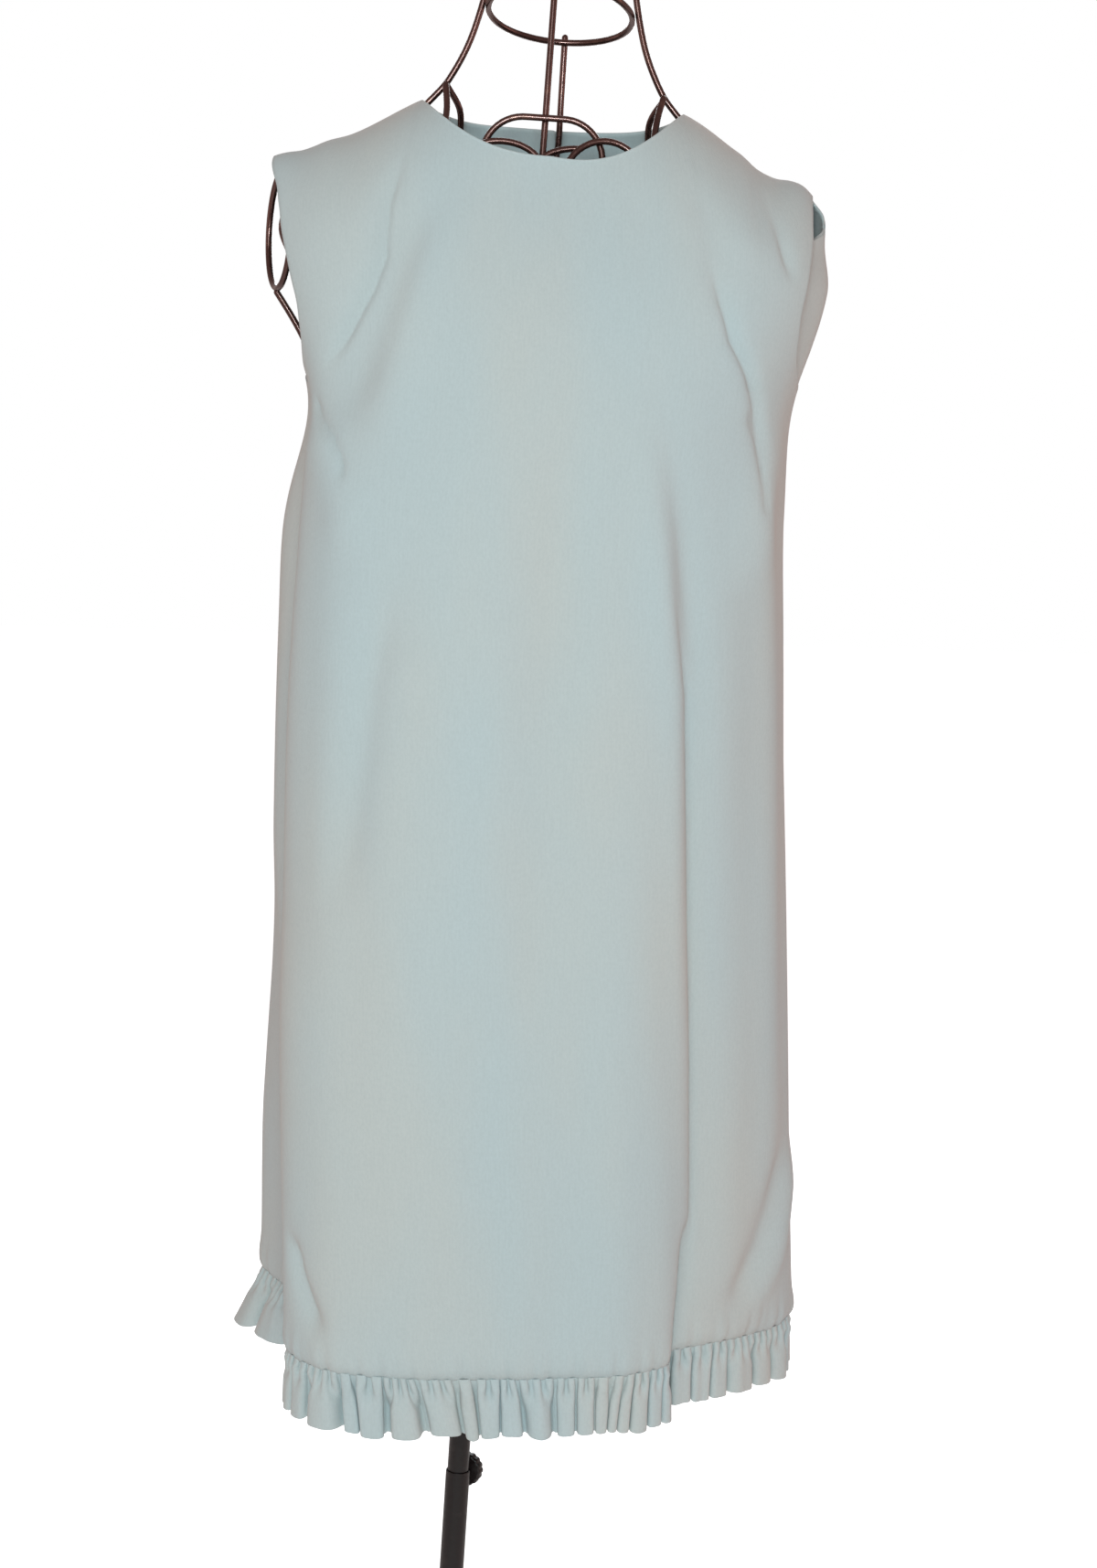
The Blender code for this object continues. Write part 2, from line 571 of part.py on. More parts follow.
def side_wire(word, side, finish):
    """An armhole's ring, the curl inside it, and the wire that runs from its foot down the form's side."""
    turn = np.arange(18) * 2 * math.pi / 18
    wire(f"armhole_ring_{word}", armhole_points(side, turn), finish, closed=True)
    foot = ARMHOLE_RING["z"] - ARMHOLE_RING["half_height"] - WIRE / 2 - SEAM_GAP * 1.6
    slant = np.array([[ARMHOLE_RING["x"], 0, foot], [0.162, 0, foot - 0.015], [0.1495, 0, foot - 0.035]])
    slant[:, 0] *= side
    surface = form_point(90.0 * side, np.array([h for h in WIRE_HEIGHTS if h < 1.2]))
    wire(f"wire_side_{word}", leaned(np.concatenate([slant, surface])), finish)
    curl = np.linspace(0.0, 1.0, 9)
    rise = ARMHOLE_CURL["top"] + (ARMHOLE_CURL["bottom"] - ARMHOLE_CURL["top"]) * curl
    ring_y = ARMHOLE_RING["half_depth"] * np.sqrt(1.0 - (rise / ARMHOLE_RING["half_height"]) ** 2)
    y = -ring_y + (WIRE + SEAM_GAP) * 0.75 + ARMHOLE_CURL["depth"] * np.sin(curl * math.pi)
    z = ARMHOLE_RING["z"] + rise
    x = side * (ARMHOLE_RING["x"] + ARMHOLE_RING["turn"] * y)
    wire(f"armhole_curl_{word}", leaned(np.stack([x, y, z], axis=-1)), finish)


def neck_ornament(finish):
    """The arch and the three scrolls at the front of the neck."""
    def on_front(x, z, layers):
        out = by_height(FORM_SECTIONS, "front", z) + layers * (WIRE + SEAM_GAP * 1.3) - ORNAMENT_BEND * x * x
        return leaned(np.stack([x, -out, z], axis=-1))

    half, corner = ARCH["half"], ARCH["corner"]
    quarter = np.radians(np.linspace(90, 0, 6))
    x = np.concatenate([[0.0], half - corner + corner * np.cos(quarter), [half]])
    z = np.concatenate([[ARCH["top_z"]], ARCH["top_z"] - corner + corner * np.sin(quarter), [ARCH["foot_z"]]])
    arch = on_front(np.concatenate([-x[:0:-1], x]), np.concatenate([z[:0:-1], z]), 1)
    wire("neck_arch", arch, finish)
    for row in SCROLLS:
        share = np.linspace(0.0, 1.0, 16)
        angle = np.radians(row["start"]) + share * row["turns"] * 1.5 * math.pi
        in_ = 1.0 - 0.25 * share
        layers = 1 if row["name"] == "scroll_centre" else 2
        x, z = row["x"] + row["half"] * in_ * np.cos(angle), row["z"] + row["tall"] * in_ * np.sin(angle)
        points = on_front(x, z, layers)
        wire(row["name"], points, finish)


def stand(wire_finish, pole_finish, knob_finish):
    """The two-part pole, its clamp knob, the sockets and spokes that carry the form, and the round base."""
    bore_floor = SLEEVE["top_z"] - SLEEVE["bore_depth"]
    radius, top = POLE["radius"], POLE["top_z"]
    foot = bore_floor + SEAM_GAP
    turned(
        "pole_upper",
        [(0, foot), (radius, foot), (radius, top - 0.002), (radius - 0.002, top), (0, top)],
        pole_finish,
        on_axis(0.0),
    )
    outer, bore = SLEEVE["radius"], SLEEVE["bore"]
    bottom = BASE["thickness"] + 0.0025
    turned(
        "pole_lower",
        [(0, bottom), (outer, bottom), (outer, SLEEVE["top_z"]), (bore, SLEEVE["top_z"]), (bore, bore_floor), (0, bore_floor)],
        pole_finish,
        on_axis(0.0),
    )
    knob_place = on_axis(KNOB["z"]) @ Matrix.Rotation(math.radians(KNOB["bearing"]), 4, "Z")
    knob_place = knob_place @ Matrix.Rotation(math.radians(90), 4, "X") @ Matrix.Translation((0, 0, outer + SEAM_GAP))
    stem, thick, wide = KNOB["stem"], KNOB["thickness"], KNOB["radius"]
    turned(
        "knob",
        [
            (0, 0),
            (KNOB["stem_radius"], 0),
            (KNOB["stem_radius"], stem),
            (wide - 0.0015, stem),
            (wide, stem + 0.0015),
            (wide, stem + thick - 0.003),
            (wide - 0.003, stem + thick),
            (0, stem + thick),
        ],
        knob_finish,
        knob_place,
    )
    for word, z in SPOKE_HEIGHTS.items():
        tall = SOCKET["height"] / 2
        turned(
            f"socket_{word}",
            [
                (SOCKET["bore"], z - tall),
                (SOCKET["radius"], z - tall),
                (SOCKET["radius"], z + tall),
                (SOCKET["bore"], z + tall),
                (SOCKET["bore"], z - tall),
            ],
            wire_finish,
            on_axis(0.0),
        )
        for index, bearing in enumerate((0.0, 90.0, 180.0, 270.0)):
            ring = form_point(bearing, z, -(WIRE + SEAM_GAP) - WIRE / 2 - SEAM_GAP * 2.6)
            far = float(np.hypot(ring[0], ring[1]))
            turn = math.radians(bearing)
            ends = [[math.sin(turn) * r, -math.cos(turn) * r, z] for r in (SOCKET["radius"] + SEAM_GAP, far)]
            wire(f"spoke_{word}_{index + 1}", leaned(ends), wire_finish)
    base(pole_finish)


def base(finish):
    """The round base: level on the floor, with a boss that leans with the pole and is bored for it."""
    edge, thick, wide = BASE["edge"], BASE["thickness"], BASE["radius"]
    made = turned(
        "base",
        [(0, 0), (wide, 0), (wide, thick - edge), (wide - edge, thick), (0, thick)],
        finish,
        Matrix.Identity(4),
        48,
    )
    boss = turned(
        "base_boss_tool",
        [
            (0, thick * 0.4),
            (BASE["boss_radius"], thick * 0.4),
            (BASE["boss_radius"], BASE["boss_top"] - 0.008),
            (BASE["boss_radius"] - 0.008, BASE["boss_top"]),
            (0, BASE["boss_top"]),
        ],
        finish,
        on_axis(0.0),
    )
    hole = turned(
        "base_bore_tool",
        [(0, thick + 0.0022), (BASE["bore"], thick + 0.0022), (BASE["bore"], 0.06), (0, 0.06)],
        finish,
        on_axis(0.0),
    )
    cut(made, boss, "UNION")
    cut(made, hole, "DIFFERENCE")


def button(finish):
    """The small covered button where the outer back's corner laps over the inner one, at the neck."""
    z = 1.352
    bearing = float(lap_bearing(OUTER_EDGE, z)) - 6.0
    place, beside, above = (cloth_point(b, h) for b, h in ((bearing, z), (bearing + 2, z), (bearing, z + 0.005)))
    across, up = Vector(beside - place), Vector(above - place)
    out = up.cross(across).normalized()
    if out.y < 0:
        out.negate()
    start = Vector(place) + out * (CLOTH / 2 + SEAM_GAP + 0.0002)
    turn = out.to_track_quat("Z", "Y").to_matrix().to_4x4()
    wide, thick = BUTTON["radius"], BUTTON["thickness"]
    turned(
        "button",
        [(0, 0), (wide * 0.8, 0), (wide, thick * 0.4), (wide * 0.8, thick * 0.8), (wide * 0.4, thick), (0, thick)],
        finish,
        Matrix.Translation(start) @ turn,
        16,
    )


def build():
    """Makes every piece."""
    crepe, wire_finish, pole_finish, knob_finish = (material(name) for name in COLOURS)
    panel("dress_front", front_bearing, NECK_FRONT, crepe, lapped=False)
    panel("dress_back_outer", outer_bearing, NECK_BACK, crepe)
    panel("dress_back_inner", inner_bearing, NECK_BACK, crepe, inner_inset, True)
    frill("frill_front", front_bearing, crepe)
    frill("frill_back_outer", outer_bearing, crepe)
    frill("frill_back_inner", inner_bearing, crepe, inner_inset, True)
    button(crepe)
    for row in RINGS:
        form_ring(row, wire_finish)
    main_wires(wire_finish)
    neck_ornament(wire_finish)
    stand(wire_finish, pole_finish, knob_finish)


for old in list(bpy.data.objects):
    bpy.data.objects.remove(old)
PARTS = bpy.data.collections.new("wrap_dress_on_form")
bpy.context.scene.collection.children.link(PARTS)
build()
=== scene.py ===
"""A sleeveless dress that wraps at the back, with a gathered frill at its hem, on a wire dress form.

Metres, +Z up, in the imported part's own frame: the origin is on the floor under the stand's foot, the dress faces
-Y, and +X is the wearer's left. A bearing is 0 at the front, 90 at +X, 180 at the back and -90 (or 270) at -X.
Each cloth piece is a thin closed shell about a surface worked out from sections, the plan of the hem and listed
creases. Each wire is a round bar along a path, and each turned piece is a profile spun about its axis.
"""

import logging
import math
from collections.abc import Sequence
from dataclasses import dataclass, field
from enum import Enum

import bpy
import numpy as np
from mathutils import Matrix, Vector


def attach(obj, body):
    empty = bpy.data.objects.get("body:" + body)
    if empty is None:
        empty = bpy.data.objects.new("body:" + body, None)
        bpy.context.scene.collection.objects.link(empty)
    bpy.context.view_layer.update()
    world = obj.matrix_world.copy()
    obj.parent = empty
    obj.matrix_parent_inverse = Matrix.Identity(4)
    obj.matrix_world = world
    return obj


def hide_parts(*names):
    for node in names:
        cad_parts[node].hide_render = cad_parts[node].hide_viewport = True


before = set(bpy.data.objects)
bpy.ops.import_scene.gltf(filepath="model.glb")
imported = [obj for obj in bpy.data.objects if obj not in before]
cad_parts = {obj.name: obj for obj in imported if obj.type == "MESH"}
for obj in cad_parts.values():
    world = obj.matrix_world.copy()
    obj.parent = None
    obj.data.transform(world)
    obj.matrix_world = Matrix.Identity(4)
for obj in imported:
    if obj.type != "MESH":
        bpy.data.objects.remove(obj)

Array = np.ndarray
Colour = tuple[float, float, float]
Socket = bpy.types.NodeSocket
LOG = logging.getLogger("wrap_dress")
BODY = "root"


# ------------------------------------------------------------------------------------------- numbers and curves
def ease(share: Array | float) -> Array:
    """0 to 1 with flat ends: 3t² - 2t³ of the share t, held at 0 before it and at 1 past it."""
    t = np.clip(share, 0.0, 1.0)
    return t * t * (3.0 - 2.0 * t)


def unit(vectors: Array) -> Array:
    """Each vector over its own length."""
    return vectors / np.maximum(np.linalg.norm(vectors, axis=-1, keepdims=True), 1e-12)


def through(places: Array, values: Array, at: Array) -> Array:
    """A smooth curve through stated values.

    Each span is a cubic whose ends have the slopes that the neighbouring values give.

    Args:
        places: Rising places, shape (n,).
        values: The value at each place, shape (n,).
        at: Where the curve is read.

    Returns:
        The values at `at`, held at the ends.
    """
    slopes = np.gradient(values, places)
    at = np.clip(at, places[0], places[-1])
    i = np.clip(np.searchsorted(places, at) - 1, 0, len(places) - 2)
    step = places[i + 1] - places[i]
    t = (at - places[i]) / step
    return (
        (1 + 2 * t) * (1 - t) ** 2 * values[i]
        + t * (1 - t) ** 2 * step * slopes[i]
        + t * t * (3 - 2 * t) * values[i + 1]
        - t * t * (1 - t) * step * slopes[i + 1]
    )


def bell(steps: int, tail: int) -> Array:
    """The weights of a bell, which sum to 1: its half width is `steps` and it ends `tail` steps from its middle."""
    weights = np.exp(-0.5 * (np.arange(-tail, tail + 1) / steps) ** 2)
    return weights / weights.sum()


def degrees_from(middle: float, bearing: Array) -> Array:
    """Degrees from one bearing to others, the shorter way round."""
    return (bearing - middle + 180.0) % 360.0 - 180.0


def round_angles(sides: int) -> Array:
    """The angles of points evenly spaced round a circle, from 0."""
    return np.arange(sides) * 2 * math.pi / sides


def tilted(points: Array, angle: float) -> Array:
    """Points turned about Y through the origin, their tops towards +X."""
    cosine, sine = math.cos(angle), math.sin(angle)
    x, y, z = np.moveaxis(np.asarray(points, float), -1, 0)
    return np.stack([x * cosine + z * sine, y, z * cosine - x * sine], axis=-1)


class SoftCurve:
    """A number that changes along another, softened by a bell so that no section shows as a band."""

    FINE = 6  # steps in the bell's half width
    TAIL = 20  # steps from the bell's middle to its end

    def __init__(self, places: Sequence[float], values: Sequence[float], soften: float, turn: float = 0.0) -> None:
        """Works the curve out once, on fine steps.

        Args:
            places: Where the values are stated, in any order.
            values: The stated values.
            soften: The bell's half width, in the places' unit.
            turn: The period of a curve that closes on itself, or 0 for one that doesn't.
        """
        order = np.argsort(places)
        keys, values = np.asarray(places, float)[order], np.asarray(values, float)[order]
        if turn:
            keys, values = np.concatenate([keys - turn, keys, keys + turn]), np.tile(values, 3)
        self.turn = turn
        self.at = np.arange(keys[0], keys[-1] + soften / self.FINE, soften / self.FINE)
        raw = np.pad(through(keys, values, self.at), self.TAIL, mode="edge")
        self.value = np.convolve(raw, bell(self.FINE, self.TAIL), "valid")

    def __call__(self, at: Array | float) -> Array:
        """The curve's value at `at`."""
        at = np.asarray(at, float)
        if self.turn:
            at = (at + self.turn / 2) % self.turn - self.turn / 2
        return np.interp(at, self.at, self.value)


def walk(line: Array) -> Array:
    """The distance along a line of points, from its first one."""
    return np.concatenate([[0.0], np.cumsum(np.linalg.norm(np.diff(line, axis=0), axis=1))])


def along(line: Array, walked: Array, at: Array) -> Array:
    """The points of a line at distances along it."""
    return np.stack([np.interp(at, walked, line[:, k]) for k in range(3)], axis=-1)


# ------------------------------------------------------------------------------------------- meshes
@dataclass
class Solid:
    """A closed mesh as arrays: its points and faces, and for cloth the flat place and the metres from a side edge."""

    points: Array
    quads: Array
    tris: Array = field(default_factory=lambda: np.zeros((0, 3), int))
    uv: Array | None = None
    from_side: Array | None = None

    def with_piece(self, other: "Solid") -> "Solid":
        """This solid and another as one mesh of two closed bodies."""
        start = len(self.points)
        return Solid(
            np.concatenate([self.points, other.points]),
            np.concatenate([self.quads, other.quads + start]),
            np.concatenate([self.tris, other.tris + start]),
        )

    def placed(self, matrix: Matrix) -> "Solid":
        """The solid moved by a matrix, its place in its points."""
        m = np.array(matrix)
        return Solid(self.points @ m[:3, :3].T + m[:3, 3], self.quads, self.tris, self.uv)

    def object(self, name: str) -> bpy.types.Object:
        """Hands the arrays to Blender.

        Args:
            name: The new object's name.

        Returns:
            The object, at the origin, smooth shaded.
        """
        mesh = bpy.data.meshes.new(name)
        corners = np.concatenate([self.quads.ravel(), self.tris.ravel()]).astype(np.int32)
        sizes = np.concatenate([np.full(len(self.quads), 4), np.full(len(self.tris), 3)])
        mesh.vertices.add(len(self.points))
        mesh.vertices.foreach_set("co", self.points.astype(np.float32).ravel())
        mesh.loops.add(len(corners))
        mesh.loops.foreach_set("vertex_index", corners)
        mesh.polygons.add(len(sizes))
        mesh.polygons.foreach_set("loop_start", np.concatenate([[0], np.cumsum(sizes)[:-1]]).astype(np.int32))
        mesh.polygons.foreach_set("use_smooth", np.ones(len(sizes), bool))
        if self.uv is not None:
            layer = mesh.uv_layers.new(name="cloth")
            layer.data.foreach_set("uv", self.uv[corners].astype(np.float32).ravel())
        if self.from_side is not None:
            mark = mesh.attributes.new("from_side", "FLOAT", "POINT")
            mark.data.foreach_set("value", self.from_side.astype(np.float32))
        mesh.update(calc_edges=True)
        mesh.validate()
        thing = bpy.data.objects.new(name, mesh)
        bpy.context.scene.collection.objects.link(thing)
        return thing


def loft(rings: Array, closed: bool = False, poles: tuple[Array, Array] | None = None) -> Solid:
    """A skin over rings of points, closed at its ends.

    Args:
        rings: Points, shape (rings, around, 3), each ring closed on itself. Their turn about the way from ring to
            ring is right-handed, so that faces point outwards.
        closed: True if the last ring joins the first one.
        poles: The end points that close the first and the last ring.

    Returns:
        The closed solid.
    """
    count, around = rings.shape[:2]
    first = np.arange(count if closed else count - 1)[:, None] * around
    after = (first + around) % (count * around)
    here = np.arange(around)[None, :]
    there = (here + 1) % around
    quads = np.stack([first + here, first + there, after + there, after + here], axis=-1).reshape(-1, 4)
    points, tris = rings.reshape(-1, 3), np.zeros((0, 3), int)
    if poles is not None:
        last = (count - 1) * around
        here, there = here[0], there[0]
        foot, top = np.full(around, len(points)), np.full(around, len(points) + 1)
        tris = np.concatenate([
            np.stack([foot, there, here], axis=-1),
            np.stack([top, last + here, last + there], axis=-1),
        ])
        points = np.concatenate([points, np.asarray(poles)])
    return Solid(points, quads, tris)


DOME = (75.0, 52.0, 28.0)  # degrees from a bar's side to each ring of its domed end
DOME_TIP = 0.04  # the pole's distance from the last of them, in radii


def bar(path: Array, radius: float, closed: bool = False, sides: int = 14) -> Solid:
    """A round bar along a path, with domed ends.

    A ring lies about each point p of the path, at p + radius (cos a · across + sin a · up). `across` is square to
    the path and to the direction in which the path is flattest, and `up` is square to both.

    Args:
        path: The middle of the bar, shape (n, 3).
        radius: Half the bar's width.
        closed: True for a ring.
        sides: Points around the bar.

    Returns:
        The bar.
    """
    run = unit(np.roll(path, -1, axis=0) - np.roll(path, 1, axis=0) if closed else np.gradient(path, axis=0))
    flat = np.linalg.svd(path - path.mean(axis=0), full_matrices=False)[2][-1]
    across = unit(np.cross(run, flat))
    up = np.cross(run, across)
    wide = np.full(len(path), radius)
    if not closed:
        dome = np.radians(DOME)
        low = path[0] - run[0] * (radius * np.sin(dome))[:, None]
        high = path[-1] + run[-1] * (radius * np.sin(dome[::-1]))[:, None]
        path = np.concatenate([low, path, high])
        wide = np.concatenate([radius * np.cos(dome), wide, radius * np.cos(dome[::-1])])
        across, up = (np.pad(v, ((len(DOME), len(DOME)), (0, 0)), mode="edge") for v in (across, up))
    angle = round_angles(sides)
    spin = np.cos(angle)[None, :, None] * across[:, None] + np.sin(angle)[None, :, None] * up[:, None]
    rings = path[:, None] + spin * wide[:, None, None]
    if closed:
        return loft(rings, closed=True)
    tip = radius * DOME_TIP
    return loft(rings, poles=(path[0] - run[0] * tip, path[-1] + run[-1] * tip))


LONGEST_ROUNDING = 0.45  # the most that one rounding takes of a profile's side


def softened(profile: Sequence[tuple[float, float]], radius: float, steps: int = 4) -> Array:
    """A profile whose corners are rounded.

    Each corner becomes a curve from `radius` before it to `radius` after it, drawn towards the corner: for t from 0
    to 1 it is (1-t)² before + 2t(1-t) corner + t² after.

    Args:
        profile: (radius, height) points.
        radius: How far from a corner its rounding starts.
        steps: Spans in a rounding.

    Returns:
        The rounded profile, shape (n, 2).
    """
    points = np.asarray(profile, float)
    t = np.linspace(0.0, 1.0, steps + 1)[:, None]
    made = [points[:1]]
    for before, corner, after in zip(points[:-2], points[1:-1], points[2:]):
        start, end = (
            corner + unit(side) * min(radius, np.linalg.norm(side) * LONGEST_ROUNDING)
            for side in (before - corner, after - corner)
        )
        made.append((1 - t) ** 2 * start + 2 * t * (1 - t) * corner + t * t * end)
    return np.concatenate([*made, points[-1:]])


def about_axis(reach: Array, height: Array) -> Array:
    """The rings of a turned piece: `reach` has a row for each height and a column for each angle."""
    angle = round_angles(reach.shape[1])
    return np.stack([reach * np.cos(angle), reach * np.sin(angle), np.broadcast_to(height, reach.shape)], axis=-1)


def spun(profile: Array, sides: int = 64, flutes: int = 0, flute: float = 0.0) -> Solid:
    """A turned piece about Z, from a profile that goes up its outer side, from axis to axis.

    The point at angle a on the profile's point (r, h) is (r cos a, r sin a, h). With flutes, r is made less by
    flute · (½ - ½ cos(flutes · a))² where the profile is within 1 mm of its widest, fading out 1.5 mm further in.

    Args:
        profile: (radius, height) points; the first and last are on the axis.
        sides: Points around.
        flutes: Grooves around the rim.
        flute: Depth of a groove.

    Returns:
        The turned solid.
    """
    rim = ease((profile[1:-1, 0] - profile[:, 0].max() + 0.0025) / 0.0015)
    groove = (0.5 - 0.5 * np.cos(flutes * round_angles(sides))) ** 2
    reach = profile[1:-1, 0, None] - flute * rim[:, None] * groove[None, :]
    rings = about_axis(reach, profile[1:-1, 1, None])
    return loft(rings, poles=(np.array([0, 0, profile[0, 1]]), np.array([0, 0, profile[-1, 1]])))


def hooped(profile: Array, sides: int = 64) -> Solid:
    """A turned ring about Z, from a closed profile that goes up its outer side and down its inner one."""
    return loft(about_axis(profile[:, :1].repeat(sides, axis=1), profile[:, 1:]), closed=True)


ROLL_ANGLES = (45.0, 90.0, 135.0)  # of the points between a cloth's two sides, round its rolled edge


def cloth_shell(grid: Array, thickness: float, uv: Array, roll: float, from_side: Array) -> Solid:
    """A closed wall of cloth about a grid of points, its edges rolled over.

    The two sides are the grid moved by half the thickness along its normals. Round the grid's border three more
    lines of points lie on a half round that stands out from the border by `roll`.

    Args:
        grid: The middle of the cloth, shape (rows, columns, 3).
        thickness: The cloth's thickness.
        uv: Flat place of each point of the grid in metres, shape (rows, columns, 2).
        roll: How far the rolled edge stands out past the grid.
        from_side: Metres from the nearer side edge, shape (rows, columns).

    Returns:
        The closed shell.
    """
    rows, columns = grid.shape[:2]
    count = rows * columns
    normal = unit(np.cross(np.gradient(grid, axis=0), np.gradient(grid, axis=1)))
    half = thickness / 2
    index = np.arange(count).reshape(rows, columns)
    face = np.stack([index[:-1, :-1], index[1:, :-1], index[1:, 1:], index[:-1, 1:]], axis=-1).reshape(-1, 4)
    # the border, walked down the first column, along the foot, up the last column and back along the top
    border = np.concatenate([index[:-1, 0], index[-1, :-1], index[:0:-1, -1], index[0, :0:-1]])
    down, right = np.zeros_like(grid), np.zeros_like(grid)
    down[0], down[-1] = unit(grid[0] - grid[1]), unit(grid[-1] - grid[-2])
    right[:, 0], right[:, -1] = unit(grid[:, 0] - grid[:, 1]), unit(grid[:, -1] - grid[:, -2])
    outward = unit(down + right).reshape(-1, 3)[border]
    middle, side = grid.reshape(-1, 3)[border], normal.reshape(-1, 3)[border]
    rim = [middle + side * half * math.cos(a) + outward * roll * math.sin(a) for a in np.radians(ROLL_ANGLES)]
    points = np.concatenate([(grid + normal * half).reshape(-1, 3), (grid - normal * half).reshape(-1, 3), *rim])
    size = len(border)
    lines = [border, *(2 * count + k * size + np.arange(size) for k in range(len(rim))), border + count]
    strips = [np.stack([a, b, np.roll(b, -1), np.roll(a, -1)], axis=-1) for a, b in zip(lines[:-1], lines[1:])]
    quads = np.concatenate([face, face[:, ::-1] + count, *strips])

    def spread(values: Array) -> Array:
        """Values of the grid, given to both sides and the rim."""
        flat = values.reshape(count, -1)
        return np.concatenate([flat, flat, *([flat[border]] * len(rim))])

    return Solid(points, quads, uv=spread(uv), from_side=spread(from_side)[:, 0])


# ------------------------------------------------------------------------------------------- the cloth's shape
@dataclass(frozen=True)
class Section:
    """The cloth's plan at one height: half its width, its depths from y = 0, and how square it is."""

    z: float
    centre: float
    half: float
    front: float
    back: float
    square: float


@dataclass(frozen=True)
class PlanPoint:
    """The hem's distance from the section's centre at a bearing."""

    bearing: float
    radius: float


@dataclass(frozen=True)
class Lean:
    """A fold at this bearing at the hem points to that one at the underarm."""

    hem: float
    underarm: float


class CreaseKind(Enum):
    """How a crease's height runs from its middle to its sides."""

    SOFT = "a bell to both sides"
    DRAG = "a bell whose one side is steep"
    PLEAT = "a ridge on one side and a trough on the other"
    SEAM = "a sharp line"


@dataclass(frozen=True)
class Crease:
    """A crease placed along a path of (bearing, height) points."""

    name: str
    kind: CreaseKind
    width: float
    depth: float
    path: tuple[tuple[float, float], ...]
    fade: float = 0.30

    ROUND = 0.150  # metres of cloth for each radian of bearing

    def offset(self, bearing: Array, z: Array) -> Array:
        """How far the crease moves the cloth out at each point.

        The nearest place on the path gives the distance d, signed by the side, and the share of the path walked.
        With q = d / width, the height is depth times exp(-q²) for a soft crease, exp(-q²)(1 + 0.7 tanh 2q) for a
        drag, 1.65 q exp(-q²) for a pleat and exp(-|q|) for a seam, faded in and out at the path's ends.

        Args:
            bearing: Bearings in degrees.
            z: Heights.

        Returns:
            Metres outwards at each point.
        """
        middle = self.path[len(self.path) // 2][0]
        flat = np.array([((b - middle) * math.pi / 180 * self.ROUND, h) for b, h in self.path])
        across = degrees_from(middle, bearing) * math.pi / 180 * self.ROUND
        here = np.stack([across, z], axis=-1)[None]
        shape = (len(flat) - 1,) + (1,) * across.ndim + (2,)  # one leg of the path for each first index
        start, span = flat[:-1].reshape(shape), np.diff(flat, axis=0).reshape(shape)
        length = np.linalg.norm(span, axis=-1)
        share = np.clip(((here - start) * span).sum(-1) / (span**2).sum(-1), 0.0, 1.0)
        away = here - (start + share[..., None] * span)
        far = np.linalg.norm(away, axis=-1)
        nearest = far.argmin(axis=0)[None]
        walked = (np.cumsum(length, axis=0) - length + share * length) / length.sum()
        side = np.sign(span[..., 0] * away[..., 1] - span[..., 1] * away[..., 0])
        walked, side, far = (np.take_along_axis(v, nearest, axis=0)[0] for v in (walked, side, far))
        q = side * far / self.width
        bell = np.exp(-(q**2))
        height = {
            CreaseKind.SOFT: bell,
            CreaseKind.DRAG: bell * (1.0 + 0.7 * np.tanh(2.0 * q)),
            CreaseKind.PLEAT: 1.65 * q * bell,
            CreaseKind.SEAM: np.exp(-np.abs(q)),
        }[self.kind]
        return self.depth * height * ease(walked / self.fade) * ease((1.0 - walked) / self.fade)


@dataclass(frozen=True)
class Sway:
    """A faint wave of the cloth that runs round the body, leaning as it goes down."""

    turns: int
    rise: float
    phase: float
    reach: float


@dataclass(frozen=True)
class Neck:
    """A neckline: how far it falls below the neck points, how square its curve is, and how much more at the right."""

    drop: float
    power: float
    right: float


@dataclass(frozen=True)
class ArmholeCut:
    """How far the panels' armhole edges stop short of the side seam at a height, in degrees of bearing."""

    z: float
    front: float
    back_left: float
    back_right: float


@dataclass(frozen=True)
class SeamStep:
    """How far the shoulder seam lies above its even slope at a distance from the neck's middle."""

    across: float
    rise: float


FRONT_NECK, BACK_NECK = Neck(0.0392, 2.4, 0.0035), Neck(0.0092, 5.0, 0.0)
ARMHOLE_CUTS = tuple(ArmholeCut(*row) for row in (
    (1.352, 12.0, 12.0, 12.0), (1.336, 12.0, 12.0, 12.5), (1.327, 13.4, 13.9, 12.6), (1.322, 14.2, 14.8, 11.4),
    (1.317, 14.6, 15.9, 9.0), (1.312, 14.9, 16.8, 5.6), (1.307, 15.4, 17.3, 1.6), (1.302, 15.7, 17.6, -2.8),
    (1.296, 16.0, 18.1, -7.4), (1.290, 16.5, 18.5, -10.0), (1.283, 17.2, 19.0, -11.4), (1.272, 18.1, 19.4, -12.0),
    (1.260, 18.9, 19.8, -12.0), (1.2445, 19.7, 20.0, -12.0), (1.234, 19.1, 19.6, -11.5), (1.225, 18.4, 19.4, -11.0),
    (1.212, 18.3, 19.1, -10.5), (1.195, 18.5, 19.0, -10.0),
))
SEAM_STEPS = tuple(SeamStep(*row) for row in (
    (-0.200, 0.0060), (-0.180, 0.0055), (-0.174, 0.0040), (-0.166, 0.0018), (-0.158, 0.0018), (-0.149, 0.0026),
    (-0.134, 0.0008), (-0.118, 0.0), (0.0, 0.0), (0.092, 0.0), (0.102, 0.0008), (0.118, 0.0014), (0.128, 0.0012),
    (0.135, -0.0016), (0.142, -0.0026), (0.150, -0.0030), (0.160, -0.0012), (0.169, -0.0018), (0.174, -0.0048),
    (0.186, -0.0120),
))
